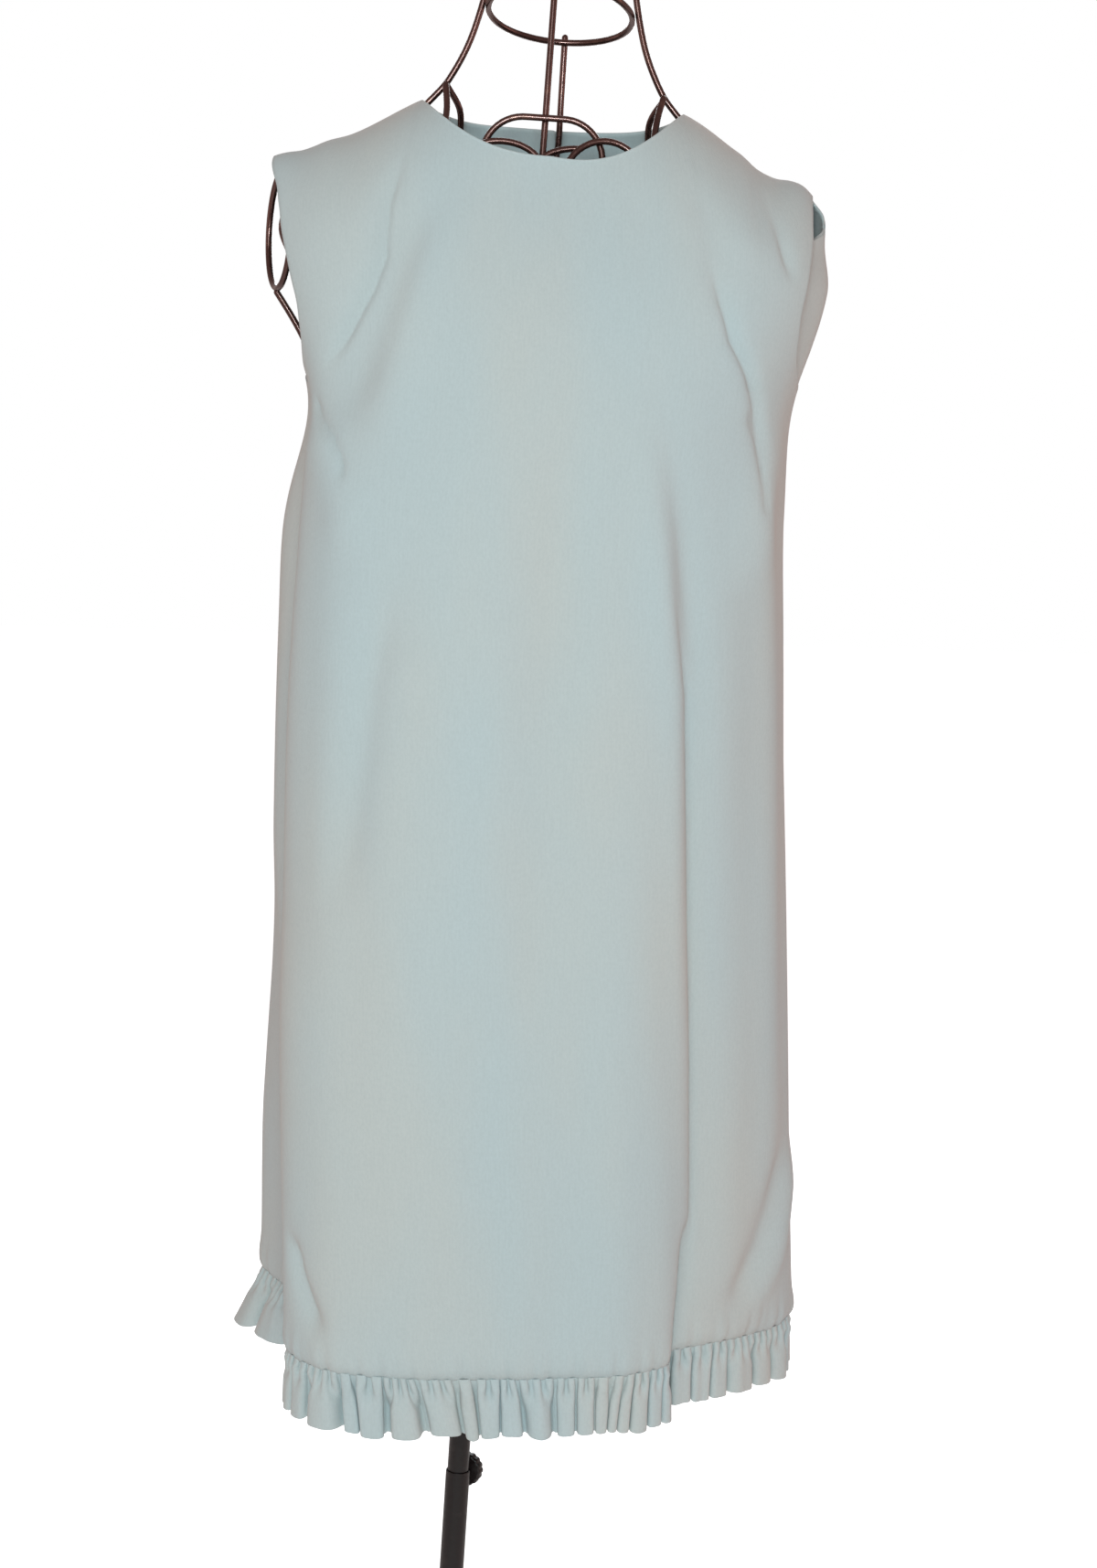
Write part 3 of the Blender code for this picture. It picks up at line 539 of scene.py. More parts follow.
SECTIONS = tuple(Section(*row) for row in (
    (1.400, 0.0570, 0.193, 0.070, 0.060, 2.6), (1.335, 0.0560, 0.193, 0.078, 0.072, 2.6),
    (1.300, 0.0585, 0.191, 0.090, 0.080, 2.6), (1.265, 0.0605, 0.187, 0.101, 0.085, 2.6),
    (1.225, 0.0610, 0.176, 0.110, 0.088, 2.5), (1.195, 0.0600, 0.166, 0.114, 0.090, 2.5),
    (1.110, 0.0530, 0.167, 0.119, 0.094, 2.5), (1.000, 0.0515, 0.171, 0.122, 0.100, 2.5),
    (0.860, 0.0525, 0.176, 0.126, 0.108, 2.4), (0.550, 0.0600, 0.186, 0.133, 0.125, 2.4),
    (0.500, 0.0612, 0.188, 0.134, 0.128, 2.4),
))
HEM_PLAN = tuple(PlanPoint(*row) for row in (
    (-132, 0.2030), (-121, 0.2215), (-110, 0.1860), (-100, 0.1660), (-90, 0.1580), (-82, 0.1590), (-74, 0.1640),
    (-66, 0.1750), (-59, 0.1840), (-53, 0.1865), (-44, 0.1850), (-37, 0.1750), (-28, 0.1630), (-15, 0.1475),
    (-2, 0.1396), (11, 0.1355), (22, 0.1420), (34, 0.1462), (44, 0.1445), (51, 0.1362), (58, 0.1420), (67, 0.1508),
    (76, 0.1610), (86, 0.1785), (98, 0.1930), (107, 0.1870), (116, 0.1720), (125, 0.1690), (134, 0.1740),
    (143, 0.1640), (153, 0.1480), (165, 0.1440), (179, 0.1350), (193, 0.1410), (206, 0.1530), (217, 0.1730),
))
LEANS = (Lean(-121, -126), Lean(-86, -92), Lean(-58, -69), Lean(0, 0), Lean(51, 47), Lean(100, 100), Lean(170, 170))
SOFT, DRAG, PLEAT, SEAM = CreaseKind.SOFT, CreaseKind.DRAG, CreaseKind.PLEAT, CreaseKind.SEAM
CREASES = tuple(Crease(*row) for row in (
    # the left side: its dent and what lies behind it
    ("left_side_tuck", SOFT, 0.034, -0.018, ((-84, 1.30), (-84, 1.06), (-84, 0.30)), 0.22),
    ("left_back_ridge", SOFT, 0.042, 0.008, ((-124, 1.28), (-124, 1.02), (-124, 0.30)), 0.22),
    ("left_back_fall", SOFT, 0.031, 0.0070, ((-104, 1.205), (-105, 1.06), (-108, 0.82), (-112, 0.57)), 0.18),
    ("left_back_swell", SOFT, 0.031, 0.0062, ((-103, 1.205), (-104, 1.06), (-108, 0.76)), 0.30),
    # the front
    ("left_drag", DRAG, 0.0058, -0.0044, ((-52.0, 1.350), (-54.2, 1.310), (-53.8, 1.290), (-53.0, 1.274),
        (-54.6, 1.254), (-57.6, 1.236), (-60.6, 1.220), (-65.0, 1.200)), 0.22),
    ("left_drag_hollow", SOFT, 0.022, -0.0070, ((-47, 1.34), (-47, 1.28), (-53, 1.22), (-59, 1.15))),
    ("left_drag_swell", SOFT, 0.018, 0.0035, ((-33, 1.33), (-38, 1.27), (-43, 1.20), (-46, 1.14))),
    ("left_dart", SEAM, 0.0026, -0.0042, ((-69, 1.186), (-64.0, 1.171), (-57.5, 1.158), (-53.5, 1.145),
        (-50.5, 1.130)), 0.14),
    ("left_dart_swell", SOFT, 0.020, 0.0046, ((-74, 1.165), (-60, 1.150), (-50, 1.118), (-46, 1.075))),
    ("left_lower_furrow", DRAG, 0.020, -0.0046, ((-36, 1.10), (-40.4, 1.048), (-43.3, 1.007), (-44.8, 0.965),
        (-47, 0.90), (-49, 0.83))),
    ("left_ridge_trim", SOFT, 0.030, -0.0045, ((-68, 1.19), (-64, 1.09), (-61, 1.00), (-60, 0.90), (-59, 0.76)),
        0.30),
    ("left_foot", DRAG, 0.009, -0.0062, ((-58, 0.640), (-55.1, 0.609), (-50.8, 0.588), (-44.8, 0.566))),
    ("middle_sag", SOFT, 0.030, 0.0030, ((-14, 1.17), (-17, 1.02), (-20, 0.85), (-24, 0.70))),
    ("middle_furrow", SOFT, 0.022, -0.0026, ((12, 1.22), (9, 1.08), (8, 0.92), (4, 0.74))),
    ("right_furrow", PLEAT, 0.0150, -0.0056, ((33, 1.20), (34.8, 1.163), (39.8, 1.103), (45.3, 1.00), (47.9, 0.883),
        (51.5, 0.755), (53.4, 0.641), (50.5, 0.540)), 0.20),
    ("right_furrow_line", DRAG, 0.0048, -0.0036, ((38.5, 1.090), (42.4, 1.040), (46.6, 0.998), (49.4, 0.914),
        (52.0, 0.79), (54.0, 0.666), (53.8, 0.600), (50.2, 0.540)), 0.26),
    ("right_ridge", SOFT, 0.0155, 0.0048, ((62, 1.190), (64.5, 1.120), (70.5, 1.068), (73.5, 0.970), (76.0, 0.846),
        (78.5, 0.716), (78.0, 0.580)), 0.15),
    ("right_bust", DRAG, 0.0056, -0.0040, ((49.0, 1.280), (50.4, 1.250), (52.4, 1.226), (57.0, 1.206), (60.6, 1.186),
        (63.2, 1.164), (64.4, 1.136)), 0.30),
    ("right_dart", SEAM, 0.0024, -0.0036, ((58, 1.184), (62.6, 1.163), (64.6, 1.134), (65.0, 1.112)), 0.14),
    ("right_dart_swell", SOFT, 0.018, 0.0040, ((72, 1.19), (70, 1.155), (66, 1.11), (62, 1.05))),
    ("right_shoulder", DRAG, 0.0050, -0.0032, ((63.5, 1.362), (64.6, 1.340), (65.2, 1.312), (65.6, 1.290),
        (66.5, 1.262)), 0.22),
    ("right_shoulder_swell", SOFT, 0.014, 0.0026, ((58, 1.350), (59, 1.315), (59, 1.270))),
    ("right_bust_fall", SOFT, 0.010, -0.0022, ((53, 1.335), (52.0, 1.300), (50.8, 1.262), (51.5, 1.236))),
    ("right_low", PLEAT, 0.0140, 0.0072, ((90, 0.690), (86, 0.655), (81, 0.61), (73, 0.578), (66, 0.556))),
    ("hem_notch", DRAG, 0.0070, -0.0080, ((51, 0.650), (50.0, 0.600), (47.2, 0.560), (46.0, 0.530)), 0.22),
    ("foot_pad_left", SOFT, 0.020, 0.0022, ((-40, 0.585), (-20, 0.570), (10, 0.568), (36, 0.578))),
    # the sides and the back, which hang as the front does
    ("right_side_fall", PLEAT, 0.020, 0.0040, ((92, 1.16), (97, 1.02), (101, 0.84), (104, 0.66), (105, 0.54)), 0.22),
    ("outer_drag", DRAG, 0.012, -0.0034, ((142, 1.310), (136, 1.265), (128, 1.225), (118, 1.190))),
    ("outer_drag_hollow", SOFT, 0.030, -0.0032, ((160, 1.32), (150, 1.24), (140, 1.16), (134, 1.06))),
    ("outer_furrow", PLEAT, 0.017, 0.0042, ((128, 1.16), (126, 1.03), (123, 0.86), (120, 0.68), (119, 0.54)), 0.20),
    ("outer_back_fall", PLEAT, 0.020, -0.0038, ((160, 1.20), (158, 1.05), (154, 0.86), (152, 0.68), (151, 0.54)),
        0.20),
    ("button_drag", DRAG, 0.010, -0.0026, ((188, 1.345), (178, 1.318), (166, 1.285), (152, 1.250))),
    ("outer_edge_fall", SOFT, 0.018, 0.0030, ((193, 1.28), (198, 1.10), (205, 0.86), (212, 0.62), (214, 0.54)), 0.25),
    ("inner_drag", DRAG, 0.012, -0.0032, ((222, 1.305), (230, 1.260), (238, 1.220), (247, 1.190))),
    ("inner_furrow", PLEAT, 0.018, -0.0040, ((226, 1.18), (227, 1.02), (228, 0.84), (229, 0.66), (229, 0.54)), 0.20),
    ("inner_side_fall", SOFT, 0.020, -0.0034, ((252, 1.17), (253, 1.02), (254, 0.82), (254, 0.62), (254, 0.54)),
        0.22),
))
SWAYS = tuple(Sway(*row) for row in (
    (4, 2.6, 0.4, 0.00090), (7, -4.1, 1.9, 0.00070), (11, 5.3, 3.6, 0.00050), (17, -7.7, 5.1, 0.00030),
    (26, 9.1, 2.2, 0.00018),
))


@dataclass
class Drape:
    """The dress's surface, as a point for each bearing and height."""

    hem_z: float = 0.550
    underarm_z: float = 1.195
    tip_z: float = 1.335
    neck_z: float = 1.380
    neck_x: float = 0.0600
    neck_half: float = 0.087
    shoulder_half: float = 0.178
    shoulder_tilt: float = 0.030
    sag_left: float = 0.0035
    sag_right: float = 0.0070
    over: float = 0.082  # how far below the shoulder line the cloth has turned to hang
    over_power: float = 2.6
    spread: float = 0.85
    armhole_round: float = 0.034
    hem_roll: float = 0.0030
    step_bearing: float = 49.5  # where the hem steps up, beside the notch
    step_rise: float = 0.0048
    pucker: float = 0.0006
    puff: float = 0.0010

    PUCKERS = ((61, 1.3, 1.0), (97, 4.0, 0.8), (149, 0.5, 0.6))  # turns round the hem, phase and share

    def __post_init__(self) -> None:
        """Draws the tables as soft curves, each softened by a length or an angle that suits its steps."""

        def curves(table: Sequence[object], names: Sequence[str], soften: float) -> dict[str, SoftCurve]:
            """For each name, that column of a table along its heights."""
            heights = [row.z for row in table]
            return {name: SoftCurve(heights, [getattr(row, name) for row in table], soften) for name in names}

        self.curve = curves(SECTIONS, ("centre", "half", "front", "back", "square"), 0.014)
        self.cuts = curves(ARMHOLE_CUTS, ("front", "back_left", "back_right"), 0.003)
        down = np.linspace(-0.3, 1.3, 400)
        self.spread_curve = SoftCurve(down, np.clip(down, 0.0, 1.0) ** self.spread, 0.022)
        self.plan = SoftCurve([p.bearing for p in HEM_PLAN], [p.radius for p in HEM_PLAN], 2.2, 360.0)
        self.lean = SoftCurve([q.underarm for q in LEANS], [q.hem - q.underarm for q in LEANS], 6.0, 360.0)
        self.seam_rise = SoftCurve([q.across for q in SEAM_STEPS], [q.rise for q in SEAM_STEPS], 0.0016)

    def shoulder_line(self, x: Array) -> Array:
        """Height of the shoulder seam at x: the even slope and the seam's own small steps."""
        return self.shoulder_slope(x) + self.seam_rise(x - self.neck_x)

    def shoulder_slope(self, x: Array) -> Array:
        """Height of the shoulder's even slope at x, and of its run over the neck, with a little sag."""
        across = x - self.neck_x
        share = (np.abs(across) - self.neck_half) / (self.shoulder_half - self.neck_half)
        fall = (self.neck_z - self.tip_z) * share + self.shoulder_tilt * across
        sag = np.where(across < 0, self.sag_left, self.sag_right)
        return self.neck_z - fall - sag * np.sin(np.pi * np.clip(share, 0.0, 1.0)) ** 2

    def neckline(self, x: Array, neck: Neck) -> Array:
        """Height of the neckline at x, lower by drop · (1 - |share|^power), and by right · sin(π share) at +X."""
        share = np.clip((x - self.neck_x) / self.neck_half, -1.0, 1.0)
        fall = neck.drop * (1.0 - np.abs(share) ** neck.power) + neck.right * np.sin(np.pi * np.clip(share, 0, 1))
        return self.neck_z - self.shoulder_tilt * (x - self.neck_x) - fall

    def down_share(self, z: Array) -> Array:
        """0 at the underarm and 1 at the hem."""
        return (self.underarm_z - z) / (self.underarm_z - self.hem_z)

    def plain_radius(self, bearing: Array, z: Array) -> Array:
        """The cloth's distance from the section's centre, without creases.

        A superellipse, (|sin|/half)^n + (|cos|/depth)^n to the power -1/n, turns into the hem's plan going down.
        Its depth goes over from the front's to the back's as tanh(cos/0.06) does.

        Args:
            bearing: Bearings in degrees.
            z: Heights.

        Returns:
            The distance in metres.
        """
        turn = np.radians(bearing)
        sine, cosine = np.abs(np.sin(turn)), np.cos(turn)
        n = self.curve["square"](z)
        side = 0.5 + 0.5 * np.tanh(cosine / 0.06)
        depth = side * self.curve["front"](z) + (1.0 - side) * self.curve["back"](z)
        plain = ((sine / self.curve["half"](z)) ** n + (np.abs(cosine) / depth) ** n) ** (-1.0 / n)
        down = self.down_share(z)
        hem_bearing = bearing + (1.0 - np.clip(down, 0.0, 1.0)) * self.lean(bearing)
        return plain + (self.plan(hem_bearing) - plain) * self.spread_curve(down)

    def creased(self, bearing: Array, z: Array) -> Array:
        """How far all creases and sways move the cloth out. The sways are weakest at the top."""
        out = sum(crease.offset(bearing, z) for crease in CREASES)
        turn, low = np.radians(bearing), 0.45 + 0.55 * ease(self.down_share(z) * 1.6)
        for sway in SWAYS:
            out = out + sway.reach * low * np.sin(sway.turns * turn + sway.rise * z + sway.phase)
        return out

    def hem_finish(self, bearing: Array, z: Array) -> Array:
        """The hem's turned-in foot: puckers above the seam, a faint puff, and a roll to the inside."""
        above = z - self.hem_z
        turn = np.radians(bearing)
        wave = sum(share * np.sin(turns * turn + phase) for turns, phase, share in self.PUCKERS)
        pucker = self.pucker * wave * np.exp(-(((above - 0.004) / 0.013) ** 2))
        puff = self.puff * np.exp(-(((above - 0.012) / 0.009) ** 2))
        return pucker + puff - self.hem_roll * np.clip(1.0 - above / 0.007, 0.0, 1.0) ** 2

    def point(self, bearing: Array, z: Array, inward: Array | float = 0.0, plain: bool = False) -> Array:
        """The middle of the cloth.

        Near the top the cloth turns over to the shoulder line: with b the share of `over` below that line, y is
        scaled by √(1 - (1 - b)^power).

        Args:
            bearing: Bearings in degrees.
            z: Heights.
            inward: How far the cloth lies inside the surface.
            plain: True to leave the hem's finish out, as for the frill's seam.

        Returns:
            Points, one more axis than the bearings.
        """
        bearing, z = np.broadcast_arrays(np.asarray(bearing, float), np.asarray(z, float))
        turn, centre = np.radians(bearing), self.curve["centre"](z)
        radius = self.plain_radius(bearing, z) - inward
        below = (self.shoulder_line(centre + radius * np.sin(turn)) - z) / self.over
        radius = radius + self.creased(bearing, z) * ease(below / 0.8)
        if not plain:
            radius = radius + self.hem_finish(bearing, z)
        x = centre + radius * np.sin(turn)
        below = np.clip((self.shoulder_line(x) - z) / self.over, 0.0, 1.0)
        y = -radius * np.cos(turn) * np.sqrt(1.0 - (1.0 - below) ** self.over_power)
        return np.stack([x, y, z], axis=-1)

    def side_bearing(self, left: bool, z: Array) -> Array:
        """Bearing of a side seam at a height."""
        down = np.clip(self.down_share(z), 0.0, 1.0)
        return -90.0 + 2.0 * down if left else 90.0 + 6.0 * down

    def armhole_cut(self, edge: str, z: Array) -> Array:
        """How far an armhole's edge stops short of the side seam.

        With u the share of the round above the underarm, it is the cuts' curve times
        1 - 3/4 (1 - u)^2.2 - 1/4 (1 - u)^8, which leaves the seam at a steep but finite slope.
        """
        left = 1.0 - np.clip((z - self.underarm_z) / self.armhole_round, 0.0, 1.0)
        return self.cuts[edge](z) * (1.0 - 0.75 * left**2.2 - 0.25 * left**8)

    def hem_lift(self, bearing: Array) -> Array:
        """How much higher the hem hangs past the notch, fading towards the right side."""
        away = degrees_from(self.step_bearing, bearing)
        return self.step_rise * ease(away / 2.2 + 0.5) * ease(1.35 - away / 30.0)

    def lap_bearing(self, neck: float, hem: float, z: Array) -> Array:
        """Where a back panel's free edge is: on a line from a bearing at the neck to one at the hem."""
        down = np.clip((self.neck_z - z) / (self.neck_z - self.hem_z), 0.0, 1.0)
        return neck + (hem - neck) * down


# ------------------------------------------------------------------------------------------- the dress's panels
@dataclass
class Panel:
    """A body panel. Its columns run from one side edge to the other and its rows from the top edge to the hem."""

    drape: Drape
    name: str = "panel"
    neck: Neck = BACK_NECK
    columns: int = 120
    rows_above: int = 96
    rows_below: int = 150
    cloth: float = 0.0020
    roll: float = 0.0009
    seam_gap: float = 0.0003
    flip: bool = False
    grain: float = 1.0  # the share across at which the warp runs straight down
    flat: tuple[float, float] = (0.5, 0.9)
    flat_area: float = 0.3

    HEM_ROWS = (0.0080, 0.0058, 0.0040, 0.0025, 0.0012, 0.0)  # heights above the hem of the close rows at its foot
    HEM_ROWS_FROM = 0.011  # where the even rows above them end
    LIFT = (0.060, 0.056)  # the hem's lift starts this far above it and is whole after that run
    SHOULDER_GAP = (2.2, 0.88)  # how far the first two rows stay clear of the seam, in seam gaps

    def bearing(self, share: Array, z: Array) -> Array:
        """Bearing at a share across the panel, at a height."""
        raise NotImplementedError

    def yielding(self, share: Array) -> Array:
        """How much of an armhole's cut a column takes: all at its edge, none from halfway across."""
        return np.clip(1.0 - share / 0.5, 0.0, 1.0) ** 1.6

    def inset(self, bearing: Array, z: Array) -> Array:
        """How far the panel lies inside the dress's surface."""
        return np.zeros(np.shape(bearing))

    def hem_line(self, z: float, inward: float = 0.0) -> tuple[Array, Array, Array]:
        """The panel's hem, close together.

        Args:
            z: Height at which the line is taken.
            inward: How far inside the panel the line lies.

        Returns:
            Shares across, points and the distance walked.
        """
        fine = np.linspace(0.0, 1.0, 3000)
        bearings = self.bearing(fine, np.full(3000, z))
        line = self.drape.point(bearings, z, self.inset(bearings, z) + inward, plain=True)
        return fine, line, walk(line)

    def top_height(self, shares: Array) -> Array:
        """Height of the top edge in each column: the neckline within the neck points, the shoulder beyond."""
        z = np.full(len(shares), 1.36)
        for _ in range(40):
            x = self.drape.point(self.bearing(shares, z), z)[:, 0]
            inside = np.abs(x - self.drape.neck_x) < self.drape.neck_half
            z = 0.5 * z + 0.5 * np.where(inside, self.drape.neckline(x, self.neck), self.drape.shoulder_line(x))
        return z

    def snapped(self, shares: Array) -> Array:
        """The columns' shares, moved a little so that one column runs to each neck point."""
        top = self.top_height(shares)
        x = self.drape.point(self.bearing(shares, top), top)[:, 0]
        for edge in (self.drape.neck_x - self.drape.neck_half, self.drape.neck_x + self.drape.neck_half):
            order = np.argsort(x)
            if x.min() < edge < x.max():
                goal = float(np.interp(edge, x[order], shares[order]))
                near = int(np.argmin(np.abs(shares - goal)))
                pull = np.clip(1.0 - np.abs(np.arange(len(shares)) - near) / 5.0, 0.0, 1.0)
                shares = shares + (goal - shares[near]) * pull
        return shares

    def grid(self) -> Array:
        """The panel's middle surface: points of shape (rows, columns, 3)."""
        drape = self.drape
        fine, _, walked = self.hem_line(drape.hem_z)
        shares = np.interp(np.linspace(self.seam_gap, walked[-1] - self.seam_gap, self.columns + 1), walked, fine)
        shares = self.snapped(shares)
        top = self.top_height(shares)
        t = np.linspace(0.0, 1.0, self.rows_above + 1)
        above = 0.30 * t + 0.70 * (0.5 - 0.5 * np.cos(np.pi * t))
        z_above = top[None] + (drape.underarm_z - top[None]) * above[:, None]
        even = np.linspace(drape.underarm_z, drape.hem_z + self.HEM_ROWS_FROM, self.rows_below)
        below = np.concatenate([even[1:], drape.hem_z + np.array(self.HEM_ROWS)])
        z = np.concatenate([z_above, np.broadcast_to(below[:, None], (len(below), len(top)))])
        bearings = self.bearing(np.broadcast_to(shares, z.shape), z)
        points = drape.point(bearings, z, self.inset(bearings, z))
        points[..., 2] += drape.hem_lift(bearings) * ease((drape.hem_z + self.LIFT[0] - z) / self.LIFT[1])
        for row, gaps in enumerate(self.SHOULDER_GAP):
            points[row, :, 1] += np.sign(points[2, :, 1]) * self.seam_gap * gaps
        return points

    def solid(self) -> Solid:
        """The panel as a closed shell.

        Its flat place is (u, v): u is the level way walked from the column where the warp runs straight down, and v
        is the way up from the hem, with each step taken square to the rows.
        """
        points = self.grid()[:, ::-1] if self.flip else self.grid()
        run = unit(np.gradient(points, axis=1)[:-1])
        down = np.diff(points, axis=0)
        down = np.linalg.norm(down - (down * run).sum(-1, keepdims=True) * run, axis=-1)
        u = np.pad(np.cumsum(np.linalg.norm(np.diff(points[..., :2], axis=1), axis=-1), axis=1), ((0, 0), (1, 0)))
        v = np.pad(np.cumsum(down[::-1], axis=0)[::-1], ((0, 1), (0, 0)))
        still = round((1.0 - self.grain if self.flip else self.grain) * self.columns)
        flat = np.stack([u - u[:, still : still + 1], v], axis=-1)
        return cloth_shell(points, self.cloth, flat, self.roll, np.minimum(u, u[:, -1:] - u))


class FrontPanel(Panel):
    """The whole front, from side seam to side seam, with a round armhole at each."""

    def bearing(self, share: Array, z: Array) -> Array:
        """Bearing at a share across, from the left side seam to the right one."""
        armhole = self.drape.armhole_cut("front", z)
        left, right = self.drape.side_bearing(True, z), self.drape.side_bearing(False, z)
        return left + (right - left) * share + armhole * (self.yielding(share) - self.yielding(1.0 - share))


class OuterBack(Panel):
    """The half of the back that laps over, from the right side seam to its free edge."""

    EDGE = (197.0, 222.0)  # bearings of the free edge at the neck and at the hem
    BEHIND = 0.0125  # how far inside the front's edge the swung part lies, whole at 78 degrees
    DRAWN = 0.0055  # how far the cloth round the armhole is drawn in besides, whole at 90 degrees

    def bearing(self, share: Array, z: Array) -> Array:
        """Bearing at a share across, from the right side seam to the free edge."""
        start, armhole = self.drape.side_bearing(False, z), self.drape.armhole_cut("back_right", z)
        return start + (self.drape.lap_bearing(*self.EDGE, z) - start) * share + armhole * self.yielding(share)

    def inset(self, bearing: Array, z: Array) -> Array:
        """At the armhole, which has swung forward, the cloth goes in behind the front's edge.

        The part behind starts at 90 degrees. The drawn-in part starts at 104 degrees and above 1.262 m.

        Args:
            bearing: Bearings in degrees.
            z: Heights.

        Returns:
            Metres inwards at each point.
        """
        drawn = self.DRAWN * ease((104.0 - bearing) / 14.0) * ease((z - 1.262) / 0.035)
        return self.BEHIND * ease((90.0 - bearing) / 12.0) + drawn


class InnerBack(Panel):
    """The half of the back that laps under, from the left side seam to its free edge."""

    EDGE = (176.0, 138.0)  # bearings of the free edge at the neck and at the hem
    GAP = (0.0050, 0.0215)  # how far inside the outer half it lies at the neck and at the hem
    RAMP = 22.0  # degrees before the outer half's edge where the gap starts

    def bearing(self, share: Array, z: Array) -> Array:
        """Bearing at a share across, from the left side seam to the free edge."""
        start, armhole = 360.0 + self.drape.side_bearing(True, z), self.drape.armhole_cut("back_left", z)
        return start + (self.drape.lap_bearing(*self.EDGE, z) - start) * share - armhole * self.yielding(share)

    def inset(self, bearing: Array, z: Array) -> Array:
        """Nothing at the side, and the lap's gap where the outer half covers it."""
        drape = self.drape
        down = np.clip((drape.neck_z - z) / (drape.neck_z - drape.hem_z), 0.0, 1.0)
        gap = self.GAP[0] + (self.GAP[1] - self.GAP[0]) * down
        start = drape.lap_bearing(*OuterBack.EDGE, z) + self.RAMP
        return gap * ease((start - bearing) / (self.RAMP * 0.75))


# ------------------------------------------------------------------------------------------- the frill
@dataclass(frozen=True)
class Gather:
    """A fold of the frill: its width at the edge, how far its far side leans in millimetres, and its small pleats."""

    width: float
    lean: float
    pleats: int


FRONT_GATHERS = tuple(Gather(*row) for row in (
    (18, 0, 2), (22, 0, 3), (15, 0, 2), (20, 0, 3), (12, -1, 2), (14, -1, 2), (17, -2, 2), (34, 5, 4), (11, 6, 1),
    (17, 2, 2), (29, 9, 4), (24, 9, 3), (11, 6, 1), (13, 1, 2), (16, 6, 2), (22, 2, 3), (13, 1, 2), (13, 1, 2),
    (8, -3, 1), (7, -5, 1), (9, -4, 1), (15, -1, 2), (12, -1, 2), (18, 0, 2), (14, 0, 2), (17, 0, 2), (16, -3, 2),
    (16, 0, 2), (31, 0, 4), (22, 1, 3), (27, 0, 3), (10, 0, 1),
))
CORNER_GATHERS = (Gather(20, 0, 3), Gather(24, 0, 3), Gather(56, 3, 6), Gather(34, 0, 4))
CORNER_RUN = 0.134  # metres of the seam that they take


def gathers_for(length: float, seed: int) -> tuple[Gather, ...]:
    """Folds for a frill that the front doesn't show, uneven in the same way.

    Args:
        length: The seam's length in metres.
        seed: A number that fixes the choice.

    Returns:
        The folds, as many as fit.
    """
    draw = np.random.default_rng(seed)
    count = max(3, round(length / 0.0175))
    widths = 8.0 + 24.0 * draw.beta(1.6, 2.2, count)
    leans = np.convolve(draw.normal(0.0, 7.0, count + 4), np.ones(5) / 5, "valid")
    return tuple(Gather(w, lean, 1 + sum(w > wide for wide in (12, 20, 27))) for w, lean in zip(widths, leans))


